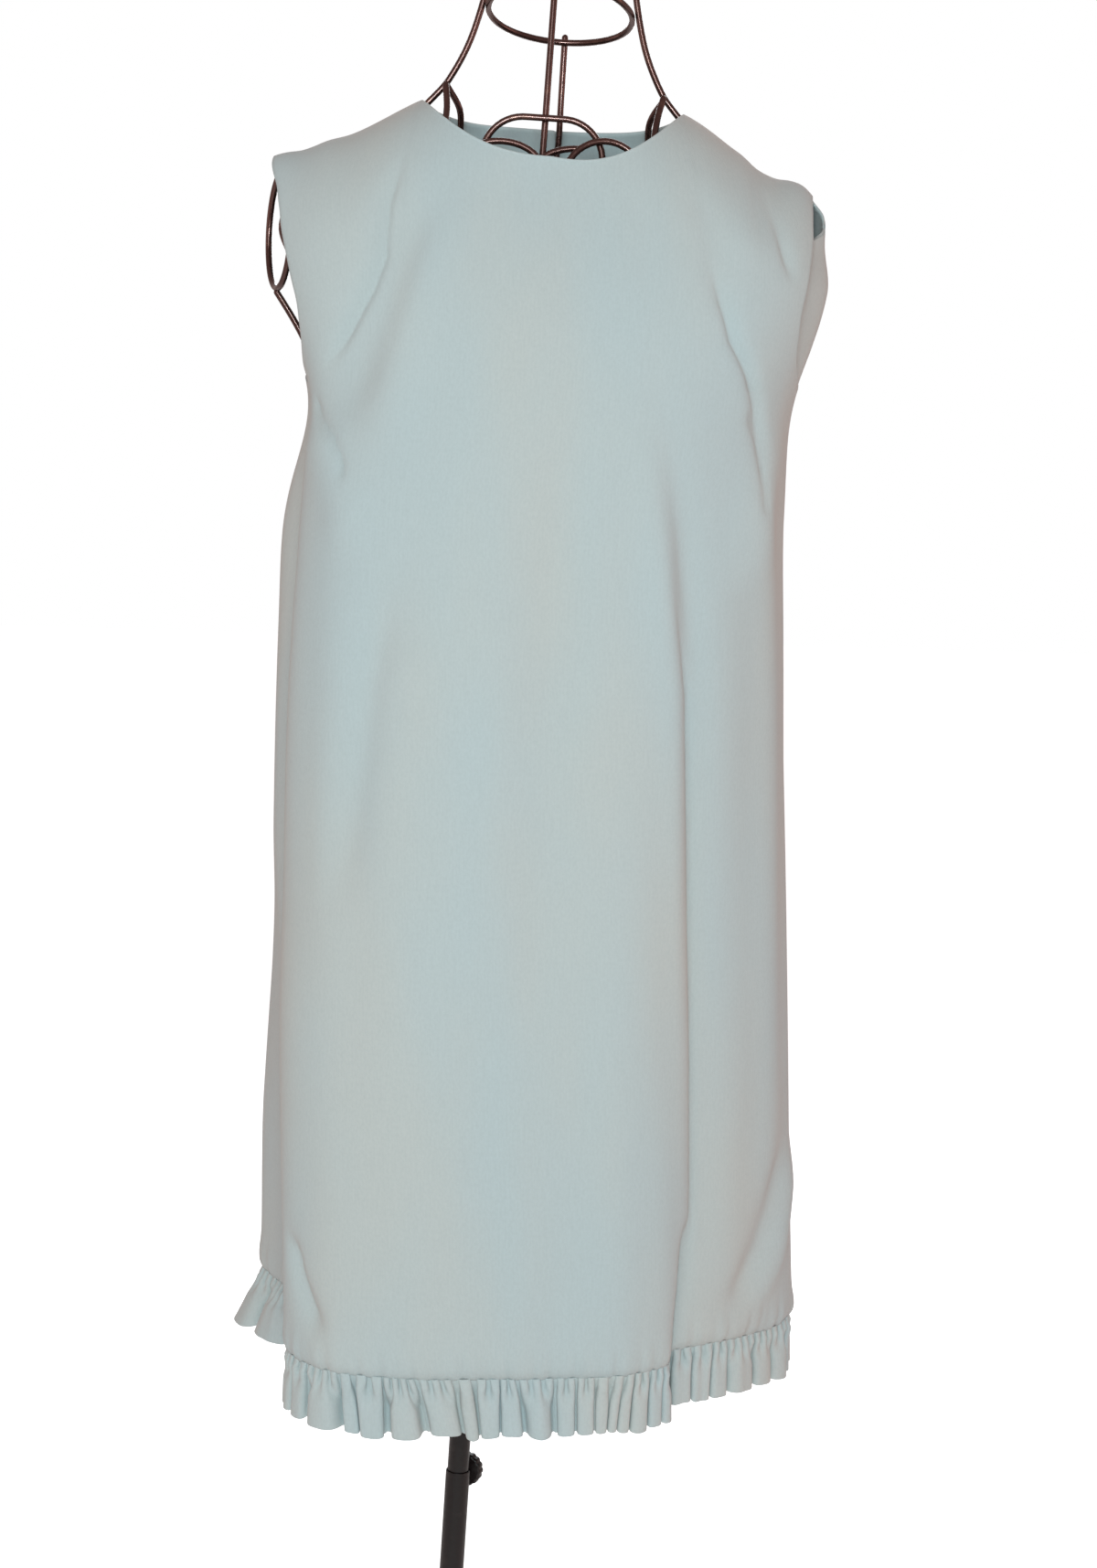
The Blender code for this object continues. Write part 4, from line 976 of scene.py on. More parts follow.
@dataclass
class Frill:
    """The gathered strip under a panel's hem."""

    panel: Panel
    name: str
    gathers: tuple[Gather, ...]
    drop: float = 0.0365
    cloth: float = 0.0012
    tuck: float = 0.0026  # how far inside the panel's face the seam lies
    flare: float = 0.0010
    corner_bearing: float = 237.0
    corner_width: float = 17.0
    corner_flare: float = 0.017
    bend: float = 1.66  # the steepest turn of a fold's cloth, in radians
    hurry: float = 0.125  # how much sooner the cloth turns in the gaps than on the folds' faces
    full: float = 0.80  # the share of the true depth that the folds keep
    end_gap: float = 0.0018  # how far the strip stops short of the seam's ends
    reach: float = 0.006  # how far to both sides the seam's direction is taken from
    per_gather: int = 40
    rows: int = 20
    seed: int = 5
    flip: bool = False
    flat: tuple[float, float] = (1.0, 0.04)

    def grid(self) -> tuple[Array, Array]:
        """The strip's middle surface and its flat places.

        Along a fold the cloth turns by bend · sin(2π h) at the edge, where f runs from 0 to 1 and h is f hurried
        through the gaps, f + hurry · sin(2π f), and by bend · sin(2π f · pleats) at the seam. Summing the turn's
        cosine gives the way along the hem, scaled to the fold's width, and summing its sine gives the reach outwards.

        Returns:
            Points of shape (rows, columns, 3) and flat places of shape (rows, columns, 2).
        """
        draw = np.random.default_rng(self.seed)
        z = self.panel.drape.hem_z
        _, line, walked = self.panel.hem_line(z + 0.004, self.tuck)
        ends = (self.end_gap, walked[-1] - self.end_gap)
        widths = np.array([g.width for g in self.gathers])
        edge = np.concatenate([[0.0], np.cumsum(widths)]) / widths.sum() * (ends[1] - ends[0]) + ends[0]
        width = np.diff(edge)
        lean = np.concatenate([[0.0], [g.lean for g in self.gathers]]) / 1000.0
        lean[-1] = 0.0
        pleats = np.array([g.pleats for g in self.gathers])
        count, steps = len(width), self.per_gather
        down = np.linspace(0.0, 1.0, self.rows + 1)
        sides = edge[None] - lean[None] * (1.0 - down[:, None] ** 0.8)
        sides[:, 0], sides[:, -1] = ends

        f = (np.arange(steps) + 0.5) / steps
        bends = self.bend * (1.0 + 0.05 * draw.standard_normal(count))
        hurry = self.hurry * (1.0 + 0.25 * draw.standard_normal(count))[:, None]
        late = ease((down - 0.03) / 0.55)[:, None, None] * 0.93
        small = np.sin(2 * np.pi * (f[None] * pleats[:, None] + 0.03 * draw.standard_normal((count, 1))))
        large = np.sin(2 * np.pi * (f[None] + hurry * np.sin(2 * np.pi * f)[None]))
        turn = bends[None, :, None] * ((1.0 - late) * small[None] + late * large[None])
        ahead = np.cumsum(np.pad(np.cos(turn), ((0, 0), (0, 0), (1, 0))), axis=2)
        out = np.cumsum(np.pad(np.sin(turn), ((0, 0), (0, 0), (1, 0))), axis=2)
        out = out - out[..., -1:] * np.linspace(0.0, 1.0, steps + 1)
        whole = ahead[..., -1:]
        span = (sides[:, 1:] - sides[:, :-1])[..., None]
        place = sides[:, :-1, None] + span * ahead / whole
        rise = self.full * out * span / whole
        # folds taller than the limit are flattened, so that no fold reaches out much more than the next one
        tall = rise.max(axis=-1, keepdims=True)
        limit = (0.0020 + (0.0060 + 0.16 * width[None]) * ease(down / 0.40)[:, None])[..., None]
        rise = rise * limit / np.maximum(limit, tall)
        crest = rise / np.maximum(rise.max(axis=-1, keepdims=True), 1e-6)
        rise = rise - np.minimum(tall, limit) * (0.30 + 0.25 * ease(down / 0.5)[:, None, None])
        hang = 1.0 + 0.035 * draw.standard_normal(count)

        def strung(values: Array) -> Array:
            """Folds end to end: each fold's columns but its last, and then the very last one."""
            return np.concatenate([values[..., :-1].reshape(len(values), -1), values[:, -1:, -1]], axis=1)

        place, rise, crest = strung(place), strung(rise), strung(crest)
        hang = np.interp(np.arange(count * steps + 1) / steps, np.arange(count) + 0.5, hang)
        base = along(line, walked, place)
        run = unit(along(line, walked, place + self.reach) - along(line, walked, place - self.reach))
        square = np.stack([run[..., 1], -run[..., 0], np.zeros(run.shape[:2])], axis=-1) * (-1 if self.flip else 1)
        share = np.interp(place, walked, np.linspace(0.0, 1.0, len(walked)))
        bearing = self.panel.bearing(share, np.full(place.shape, z))
        away = degrees_from(self.corner_bearing, bearing)
        flare = self.flare + self.corner_flare * np.exp(-((away / self.corner_width) ** 2))
        points = base + square * (rise + flare * down[:, None] ** 1.3)[..., None]
        drop = self.drop * hang[None] + 0.0016 * crest * down[:, None]
        points[..., 2] = z + self.panel.drape.hem_lift(bearing) - 0.0004 - drop * down[:, None]
        uv = np.stack(np.broadcast_arrays(walk(points[-1])[None], 1.0 - down[:, None] * self.drop), axis=-1)
        return points, uv

    def solid(self) -> Solid:
        """The strip as a closed shell."""
        points, uv = self.grid()
        if self.flip:
            points, uv = points[:, ::-1], uv[:, ::-1]
        return cloth_shell(points, self.cloth, uv, self.cloth / 2, np.ones(points.shape[:2]))


# ------------------------------------------------------------------------------------------- finishes
class Bench:
    """Lays out the nodes of one tree, left to right as they are added."""

    def __init__(self, tree: bpy.types.NodeTree) -> None:
        """Starts on an empty tree."""
        self.tree = tree
        self.tree.nodes.clear()

    def add(self, kind: str, **settings: object) -> bpy.types.Node:
        """A new node of a kind, with its settings; inputs are given as in_Name=value or a socket."""
        node = self.tree.nodes.new("ShaderNode" + kind)
        node.location = (180 * len(self.tree.nodes), 0)
        for key, value in settings.items():
            if key.startswith("in_"):
                self.feed(node.inputs[key[3:].replace("_", " ")], value)
            elif key.startswith("at_"):
                self.feed(node.inputs[int(key[3:])], value)
            else:
                setattr(node, key, value)
        return node

    def feed(self, socket: Socket, value: object) -> None:
        """Links a socket to another, or sets it to a number or colour."""
        if isinstance(value, Socket):
            self.tree.links.new(value, socket)
        else:
            socket.default_value = value

    def maths(self, operation: str, a: object, b: object = 0.0) -> Socket:
        """One sum of two values."""
        return self.add("Math", operation=operation, at_0=a, at_1=b).outputs[0]

    def noise(self, place: Socket, scale: object, detail: float, roughness: float = 0.5) -> bpy.types.Node:
        """A noise texture at a place."""
        return self.add("TexNoise", in_Vector=place, in_Scale=scale, in_Detail=detail, in_Roughness=roughness)

    def vector(self, operation: str, a: Socket, b: object) -> Socket:
        """One sum of two vectors."""
        return self.add("VectorMath", operation=operation, at_0=a, at_1=b).outputs[0]

    def ramp(self, value: object, low: float, high: float, to_low: float = 0.0, to_high: float = 1.0) -> Socket:
        """A value taken smoothly from one range to another."""
        node = self.add("MapRange", interpolation_type="SMOOTHSTEP", in_Value=value)
        for name, number in (("From Min", low), ("From Max", high), ("To Min", to_low), ("To Max", to_high)):
            node.inputs[name].default_value = number
        return node.outputs[0]

    def blend(self, share: object, a: Socket | Colour, b: Socket | Colour) -> Socket:
        """Two colours mixed by a share."""
        a, b = (colour if isinstance(colour, Socket) else (*colour, 1.0) for colour in (a, b))
        return self.add("Mix", data_type="RGBA", in_Factor=share, at_6=a, at_7=b).outputs[2]

    def use(self, group: bpy.types.NodeTree, **inputs: object) -> bpy.types.Node:
        """A shared effect with its inputs."""
        return self.add("Group", node_tree=group, **{f"in_{key}": value for key, value in inputs.items()})


def effect(
    name: str, inputs: dict[str, tuple[str, float]], outputs: Sequence[str]
) -> tuple[bpy.types.NodeTree, Bench, bpy.types.Node]:
    """A new shader node group with named sockets.

    Args:
        name: The group's name.
        inputs: For each input, its kind (Vector or Float) and its first value.
        outputs: Names of the outputs, all plain numbers.

    Returns:
        The group, the bench to lay its nodes on, and its input node.
    """
    group = bpy.data.node_groups.new(name, "ShaderNodeTree")
    bench = Bench(group)
    for key, (kind, value) in inputs.items():
        socket = group.interface.new_socket(key, in_out="INPUT", socket_type="NodeSocket" + kind)
        if kind == "Float":
            socket.default_value = value
    for key in outputs:
        group.interface.new_socket(key, in_out="OUTPUT", socket_type="NodeSocketFloat")
    start = group.nodes.new("NodeGroupInput")
    return group, bench, start


class Effects:
    """The effects that several finishes share, each a node group made once."""

    def __init__(self) -> None:
        """Makes the groups."""
        self.weave = self._weave()
        self.mottle = self._mottle()
        self.wear = self._wear()

    def _finish(self, bench: Bench, values: Sequence[Socket]) -> None:
        """Ends a group with its outputs, in their order."""
        end = bench.tree.nodes.new("NodeGroupOutput")
        end.location = (180 * len(bench.tree.nodes), 0)
        for socket, value in zip(end.inputs, values):
            bench.feed(socket, value)

    def _weave(self) -> bpy.types.NodeTree:
        """Crepe: fine warp and weft threads that wander, slubs along the warp, and a pebbled crinkle."""
        group, b, start = effect(
            "crepe_weave",
            {"Place": ("Vector", 0.0), "Threads": ("Float", 1700.0), "Wander": ("Float", 0.0005)},
            ("Height", "Slub", "Pebble"),
        )
        place = start.outputs["Place"]
        shift = b.vector("SUBTRACT", b.noise(place, 260.0, 2.0).outputs["Color"], (0.5, 0.5, 0.5))
        shift = b.add("VectorMath", operation="SCALE", at_0=shift, in_Scale=start.outputs["Wander"])
        apart = b.add("SeparateXYZ", at_0=b.vector("ADD", place, shift.outputs[0]))
        turns = b.maths("MULTIPLY", start.outputs["Threads"], 2 * math.pi)
        warp = b.maths("SINE", b.maths("MULTIPLY", apart.outputs[0], turns))
        weft = b.maths("SINE", b.maths("MULTIPLY", apart.outputs[1], turns))
        cross = b.maths("MULTIPLY", b.maths("MULTIPLY", warp, weft), 0.35)
        threads = b.maths("ADD", b.maths("MULTIPLY", b.maths("ADD", warp, weft), 0.25), cross)
        slub = b.noise(b.vector("MULTIPLY", place, (1.0, 0.05, 1.0)), 900.0, 3.0, 0.62)
        pebble = b.noise(b.vector("MULTIPLY", place, (1.0, 0.62, 1.0)), 620.0, 4.0, 0.58)
        height = b.maths("ADD", b.maths("MULTIPLY", threads, 0.22), b.maths("MULTIPLY", pebble.outputs[0], 0.9))
        height = b.maths("ADD", height, b.maths("MULTIPLY", slub.outputs[0], 0.55))
        self._finish(b, (height, slub.outputs[0], pebble.outputs[0]))
        return group

    def _mottle(self) -> bpy.types.NodeTree:
        """Slow uneven patches and finer ones, both from 0 to 1."""
        group, b, start = effect(
            "slow_mottle", {"Place": ("Vector", 0.0), "Scale": ("Float", 8.0)}, ("Patch", "Fleck")
        )
        place, scale = start.outputs[:2]
        patch = b.noise(place, scale, 2.0)
        fleck = b.noise(place, b.maths("MULTIPLY", scale, 14.0), 4.0, 0.6)
        self._finish(b, (b.ramp(patch.outputs[0], 0.32, 0.68), b.ramp(fleck.outputs[0], 0.35, 0.7)))
        return group

    def _wear(self) -> bpy.types.NodeTree:
        """Rubbed and dusty places on a hard finish, and the height of its fine grain."""
        group, b, start = effect(
            "rubbed_grain",
            {"Place": ("Vector", 0.0), "Scale": ("Float", 60.0), "Grain": ("Float", 900.0)},
            ("Rub", "Height"),
        )
        place, scale, finer = start.outputs[:3]
        rub = b.noise(place, scale, 5.0, 0.7)
        self._finish(b, (b.ramp(rub.outputs[0], 0.55, 0.72), b.noise(place, finer, 3.0).outputs[0]))
        return group


def new_material(name: str) -> tuple[bpy.types.Material, Bench, bpy.types.Node]:
    """A new material with its bench and its shader, joined to the output.

    Args:
        name: The material's name.

    Returns:
        The material, the bench and the Principled shader.
    """
    made = bpy.data.materials.new(name)
    made.use_nodes = True
    bench = Bench(made.node_tree)
    shader = bench.add("BsdfPrincipled")
    output = bench.add("OutputMaterial")
    bench.tree.links.new(shader.outputs[0], output.inputs[0])
    return made, bench, shader


def set_inputs(shader: bpy.types.Node, **values: object) -> None:
    """Sets a shader's plain inputs, with _ in the names for each space."""
    for key, value in values.items():
        shader.inputs[key.replace("_", " ")].default_value = value


def relief(bench: Bench, shader: bpy.types.Node, height: Socket, strength: float, distance: float) -> None:
    """Joins a height to a shader as a bump."""
    bump = bench.add("Bump", in_Height=height, in_Strength=strength, in_Distance=distance)
    bench.feed(shader.inputs["Normal"], bump.outputs[0])


@dataclass(frozen=True)
class CrepeFinish:
    """The dress's pale blue crepe."""

    name: str = "crepe"
    cool: Colour = (0.455, 0.560, 0.585)
    plain: Colour = (0.485, 0.560, 0.560)
    warm: Colour = (0.505, 0.552, 0.540)
    # the darker tone of slubs and crinkle, and the painted shade at the panels' side edges
    slub_tone_and_seam_shade: Colour = (0.33, 0.40, 0.41)
    glow: Colour = (1.0, 0.62, 0.54)  # the sheen's tint
    roughness: float = 0.82
    sheen: float = 0.10
    bump: float = 0.00022
    threads: float = 1700.0  # to the metre
    wander: float = 0.0006

    def material(self, effects: Effects) -> bpy.types.Material:
        """Builds the finish: colour that drifts and is streaked by slubs, a woven bump, and painted shade at the side
        edges.
        """
        made, b, shader = new_material(self.name)
        uv = b.add("UVMap", uv_map="cloth").outputs[0]
        woven = b.use(effects.weave, Place=uv, Threads=self.threads, Wander=self.wander).outputs
        drift = b.use(effects.mottle, Place=b.vector("MULTIPLY", uv, (1.0, 0.3, 1.0)), Scale=9.0)
        seam = b.add("Attribute", attribute_name="from_side", attribute_type="GEOMETRY").outputs["Fac"]
        tone = b.blend(0.75, self.plain, b.blend(drift.outputs["Patch"], self.cool, self.warm))
        for darker in (
            b.maths("MULTIPLY", b.ramp(woven["Slub"], 0.30, 0.72), 0.09),
            b.maths("MULTIPLY", b.ramp(woven["Pebble"], 0.62, 0.36), 0.14),
            # painted shade: up to 0.28 of the way to the dark tone within 2.2 mm of a panel's side edge (its side seams
            # and the lap's free edge); the button has no such mark and is darkened so all over
            b.ramp(seam, 0.0, 0.0022, 0.28, 0.0),
        ):
            tone = b.blend(darker, tone, self.slub_tone_and_seam_shade)
        b.feed(shader.inputs["Base Color"], tone)
        rough = b.ramp(woven["Slub"], 0.2, 0.8, self.roughness - 0.06, self.roughness + 0.08)
        b.feed(shader.inputs["Roughness"], rough)
        set_inputs(
            shader, Sheen_Weight=self.sheen, Sheen_Roughness=0.50, Sheen_Tint=(*self.glow, 1.0), Specular_IOR_Level=0.28
        )
        relief(b, shader, woven["Height"], 0.55, self.bump)
        return made


@dataclass(frozen=True)
class HardFinish:
    """A painted or plated finish on metal or plastic."""

    name: str
    colour: Colour
    worn: Colour
    roughness: float
    metallic: float
    coat: float
    grain: float
    scale: float = 55.0
    bump: float = 0.00008

    def material(self, effects: Effects) -> bpy.types.Material:
        """Builds the finish: a colour rubbed to a worn one, roughness that follows it, and a fine grain."""
        made, b, shader = new_material(self.name)
        place = b.add("TexCoord").outputs["Object"]
        wear = b.use(effects.wear, Place=place, Scale=self.scale, Grain=self.grain).outputs
        drift = b.use(effects.mottle, Place=place, Scale=18.0).outputs
        tone = b.blend(drift["Patch"], self.colour, tuple(0.72 * c for c in self.colour))
        tone = b.blend(b.maths("MULTIPLY", wear["Rub"], 0.55), tone, self.worn)
        b.feed(shader.inputs["Base Color"], tone)
        rough = b.ramp(drift["Fleck"], 0.0, 1.0, self.roughness - 0.05, self.roughness + 0.10)
        b.feed(shader.inputs["Roughness"], b.maths("ADD", rough, b.maths("MULTIPLY", wear["Rub"], 0.10)))
        set_inputs(shader, Metallic=self.metallic, Coat_Weight=self.coat, Coat_Roughness=0.16)
        relief(b, shader, wear["Height"], 0.5, self.bump)
        return made


BRONZE = HardFinish("bronze_wire", (0.105, 0.048, 0.040), (0.20, 0.105, 0.075), 0.24, 0.85, 0.45, 1400.0)
WELD = HardFinish("weld", (0.050, 0.026, 0.020), (0.12, 0.070, 0.045), 0.42, 0.70, 0.0, 2200.0, bump=0.00015)
POLE_PAINT = HardFinish("pole_paint", (0.0065, 0.0042, 0.0042), (0.030, 0.022, 0.020), 0.36, 0.25, 0.10, 1100.0)
KNOB_PLASTIC = HardFinish("knob_plastic", (0.0090, 0.0050, 0.0050), (0.030, 0.022, 0.020), 0.42, 0.0, 0.0, 1600.0)
IRON = HardFinish(
    "cast_iron_paint", (0.0080, 0.0060, 0.0060), (0.040, 0.030, 0.026), 0.46, 0.30, 0.0, 520.0, scale=20.0, bump=0.0003
)


def show(name: str, solid: Solid, finish: bpy.types.Material, nodes: Sequence[str]) -> bpy.types.Object:
    """Puts a piece in the scene in the place of the part's own nodes.

    Args:
        name: The piece's name.
        solid: Its mesh.
        finish: Its material.
        nodes: The part's nodes that it stands for.

    Returns:
        The piece.
    """
    piece = solid.object(name)
    piece.data.materials.append(finish)
    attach(piece, BODY)
    if nodes:
        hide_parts(*nodes)
    LOG.info("%s: %d points, %d faces", name, len(solid.points), len(solid.quads) + len(solid.tris))
    return piece


# ------------------------------------------------------------------------------------------- sub-assemblies
@dataclass
class Dress:
    """The dress: three panels, their frills and the button that closes the lap."""

    crepe: bpy.types.Material
    drape: Drape = field(default_factory=Drape)
    button_radius: float = 0.0075
    button_thickness: float = 0.0040
    button_z: float = 1.352
    button_from_edge: float = 6.0  # degrees
    button_lift: float = 0.0016  # from the cloth's middle to the button's foot

    def panels(self) -> tuple[Panel, Panel, Panel]:
        """The front and the two halves of the back."""
        front = FrontPanel(
            self.drape, "front_panel", FRONT_NECK, columns=176, grain=0.5, flat=(0.62, 0.86), flat_area=0.42
        )
        outer = OuterBack(self.drape, "outer_back_panel", columns=116, flat=(0.42, 0.86), flat_area=0.29)
        inner = InnerBack(self.drape, "inner_back_panel", columns=128, flip=True, flat=(0.46, 0.86), flat_area=0.31)
        return front, outer, inner

    def frills(self, front: Panel, outer: Panel, inner: Panel) -> tuple[Frill, Frill, Frill]:
        """The frill of each panel."""
        outer_run, inner_run = (panel.hem_line(self.drape.hem_z)[2][-1] for panel in (outer, inner))
        inner_gathers = CORNER_GATHERS + gathers_for(inner_run - CORNER_RUN, 23)
        return (
            Frill(front, "front_frill", FRONT_GATHERS, seed=5, flat=(1.0, 0.040)),
            Frill(outer, "outer_back_frill", gathers_for(outer_run, 11), seed=6, flat=(0.72, 0.040)),
            Frill(inner, "inner_back_frill", inner_gathers, seed=7, flip=True, flat=(0.80, 0.040)),
        )

    def button(self) -> Solid:
        """The covered button: a dome with a rolled rim, square to the cloth at the lap's corner."""
        z = self.button_z
        bearing = float(self.drape.lap_bearing(*OuterBack.EDGE, z)) - self.button_from_edge
        spots = self.drape.point(np.array([bearing, bearing + 2.0, bearing]), np.array([z, z, z + 0.005]))
        place, beside, above = (Vector(p) for p in spots)
        out = (above - place).cross(beside - place).normalized()
        if out.y < 0:
            out.negate()
        wide, thick = self.button_radius, self.button_thickness
        t = np.linspace(0.0, 0.5 * math.pi, 14)
        dome = np.stack([wide * np.cos(t) ** 0.75, thick * (0.42 + 0.58 * np.sin(t))], axis=-1)
        foot = [(0.0, 0.0), (wide * 0.72, 0.0), (wide * 0.93, thick * 0.14), (wide * 0.99, thick * 0.30)]
        profile = np.concatenate([np.array(foot), dome])
        profile[-1, 0] = 0.0
        turn = out.to_track_quat("Z", "Y").to_matrix().to_4x4()
        made = spun(profile, 40).placed(Matrix.Translation(place + out * self.button_lift) @ turn)
        made.uv = made.points[:, [0, 2]]
        return made

    def build(self) -> None:
        """Makes the cloth pieces: the button, and each panel with its frill."""
        panels = self.panels()
        frills = self.frills(*panels)
        button = show("covered_button", self.button(), self.crepe, ["button"])
        for panel, frill, word in zip(panels, frills, ("front", "back_outer", "back_inner")):
            strip = show(frill.name, frill.solid(), self.crepe, [f"frill_{word}"])
            body = show(panel.name, panel.solid(), self.crepe, [f"dress_{word}"])
            going = [button] if isinstance(panel, OuterBack) else []


@dataclass
class WireForm:
    """The wire dress form, upright on its own axis and then leaned with the stand."""

    bronze: bpy.types.Material
    weld: bpy.types.Material
    drape: Drape
    lean: float = 0.0405
    wire: float = 0.0044
    gap: float = 0.0003
    neck_joint_z: float = 1.392
    princess: float = 36.0  # bearing of the wires between the centre and the sides
    half_cloth: float = 0.0010

    HEIGHTS = (1.492, 1.450, 1.415, 1.392, 1.340, 1.260, 1.180, 1.110, 1.030, 0.940, 0.880)
    HALF = (0.044, 0.051, 0.061, 0.073, 0.110, 0.143, 0.142, 0.122, 0.105, 0.110, 0.113)
    FRONT = (0.042, 0.048, 0.051, 0.053, 0.058, 0.082, 0.100, 0.092, 0.080, 0.084, 0.086)
    BACK = (0.042, 0.046, 0.047, 0.048, 0.055, 0.068, 0.074, 0.070, 0.066, 0.072, 0.074)
    BEADS_UNDER = 1.2  # the rings below this height are welded to the uprights with beads
    RINGS = (
        # name, height at the front and at the back
        ("ring_top", 1.488, 1.488), ("ring_neck", 1.458, 1.430), ("ring_bust", 1.180, 1.180),
        ("ring_waist", 1.030, 1.030), ("ring_bottom", 0.890, 0.890),
    )
    ARMHOLE = {"x": 0.1729, "z": 1.290, "half_depth": 0.029, "half_height": 0.039, "turn": 0.36}
    SCROLLS = (
        # name, x, z, half its width, half its height, start in degrees, turns of 270 degrees, layers from the neck
        ("scroll_left", -0.0278, 1.3334, 0.0285, 0.0195, 10.0, 1.00, 2),
        ("scroll_right", 0.0422, 1.3305, 0.0285, 0.0285, 215.0, -1.05, 2),
        ("scroll_centre", 0.0234, 1.3378, 0.0275, 0.0125, 88.0, 0.75, 1),
    )

    def __post_init__(self) -> None:
        """Draws the form's sections as soft curves."""
        self.half, self.front, self.back = (
            SoftCurve(self.HEIGHTS, values, 0.006) for values in (self.HALF, self.FRONT, self.BACK)
        )
        self.beads: list[Array] = []

    def leaned(self, points: Array) -> Array:
        """Points of the upright form, tilted with the stand about its foot."""
        return tilted(points, math.atan(self.lean))

    def skin(self, bearing: Array | float, z: Array | float, out: float = 0.0) -> Array:
        """A point of the upright form: half · sin across and the front's or back's depth · cos, moved outwards."""
        bearing, z = np.broadcast_arrays(np.asarray(bearing, float), np.asarray(z, float))
        turn = np.radians(bearing)
        depth = np.where(np.cos(turn) > 0, self.front(z), self.back(z)) + out
        return self.turned(np.stack([(self.half(z) + out) * np.sin(turn), -depth * np.cos(turn), z], axis=-1))

    def turned(self, points: Array) -> Array:
        """Points of the upright form, its neck moved to +X by a fixed amount and by a share of y."""
        x, y, z = np.moveaxis(points, -1, 0)
        return np.stack([x + ease((z - 1.300) / 0.070) * (0.005 + 0.085 * y), y, z], axis=-1)

    def run(self, name: str, points: Array, closed: bool = False, step: float = 0.0035, soften: float = 0.0) -> None:
        """Makes one wire along a path of the upright form.

        Args:
            name: The piece, and the node it stands for.
            points: The path, close together or with real bends.
            closed: True for a ring.
            step: Metres between the bar's rings.
            soften: Metres over which a bend is rounded, or 0.
        """
        line = self.leaned(points)
        if closed:
            line = np.concatenate([line, line[:1]])
        walked = walk(line)
        count = max(8, int(walked[-1] / step))
        spaced = along(line, walked, np.linspace(0.0, walked[-1], count + 1))
        if closed:
            spaced = spaced[:-1]
        elif soften:
            reach = max(1, round(soften / step))
            weights = bell(reach, 3 * reach)
            longer = np.pad(spaced, ((3 * reach, 3 * reach), (0, 0)), mode="reflect", reflect_type="odd")
            spaced = np.stack([np.convolve(longer[:, k], weights, "valid") for k in range(3)], axis=-1)
        show(name, bar(spaced, self.wire / 2, closed), self.bronze, [name])

    def rings(self) -> None:
        """The level rings, and the tilted one at the neck, inside the upright wires."""
        bearings = np.arange(240) * 1.5
        share = 0.5 - 0.5 * np.cos(np.radians(bearings))
        spots = [turn + side * self.princess for turn in (0.0, 180.0) for side in (-1, 0, 1)] + [90.0, 270.0]
        for name, front_z, back_z in self.RINGS:
            z = front_z + (back_z - front_z) * share
            self.run(name, self.skin(bearings, z, -(self.wire + self.gap)), closed=True)
            if front_z < self.BEADS_UNDER:
                self.beads += [self.skin(spot, front_z, -self.wire / 2) for spot in spots]

    def uprights(self) -> None:
        """The centre wires and the princess wires."""
        self.run("wire_front_centre", self.skin(0.0, np.linspace(1.494, 0.885, 180)))
        self.run("wire_back_centre", self.skin(180.0, np.linspace(1.434, 0.885, 170)))
        tops = np.array([
            (1.392, 0.0725, 0.0048, 0.0048), (1.378, 0.0700, 0.0110, 0.0095), (1.360, 0.0695, 0.0220, 0.0180),
            (1.335, 0.0715, 0.0370, 0.0290), (1.300, 0.0770, 0.0540, 0.0420),
        ])
        lower = np.linspace(1.262, 0.885, 40)
        for side, word in ((-1, "left"), (1, "right")):
            for column, depth, bearing in ((2, "front", self.princess), (3, "back", 180.0 - self.princess)):
                facing = -1 if depth == "front" else 1
                nearer = 0.006 * (tops[:, 0] < 1.385) * (depth == "back")
                top = np.stack([side * (tops[:, 1] - nearer), facing * tops[:, column], tops[:, 0]], axis=-1)
                coarse = np.concatenate([self.turned(top), self.skin(side * bearing, lower)])
                walked = walk(coarse)
                fine = np.linspace(0.0, walked[-1], 160)
                smooth = np.stack([through(walked, coarse[:, k], fine) for k in range(3)], axis=-1)
                self.run(f"wire_{depth}_{word}", smooth)

    def armhole(self, side: int, angles: Array) -> Array:
        """Points of an armhole's ring: an ellipse that stands front to back and is turned a little."""
        ring = self.ARMHOLE
        y = ring["half_depth"] * np.sin(angles)
        z = ring["z"] + ring["half_height"] * np.cos(angles)
        return np.stack([side * (ring["x"] + ring["turn"] * y), y, z], axis=-1)

    def upright(self, points: Array) -> Array:
        """Points of the room, turned back to the upright form."""
        return tilted(points, -math.atan(self.lean))

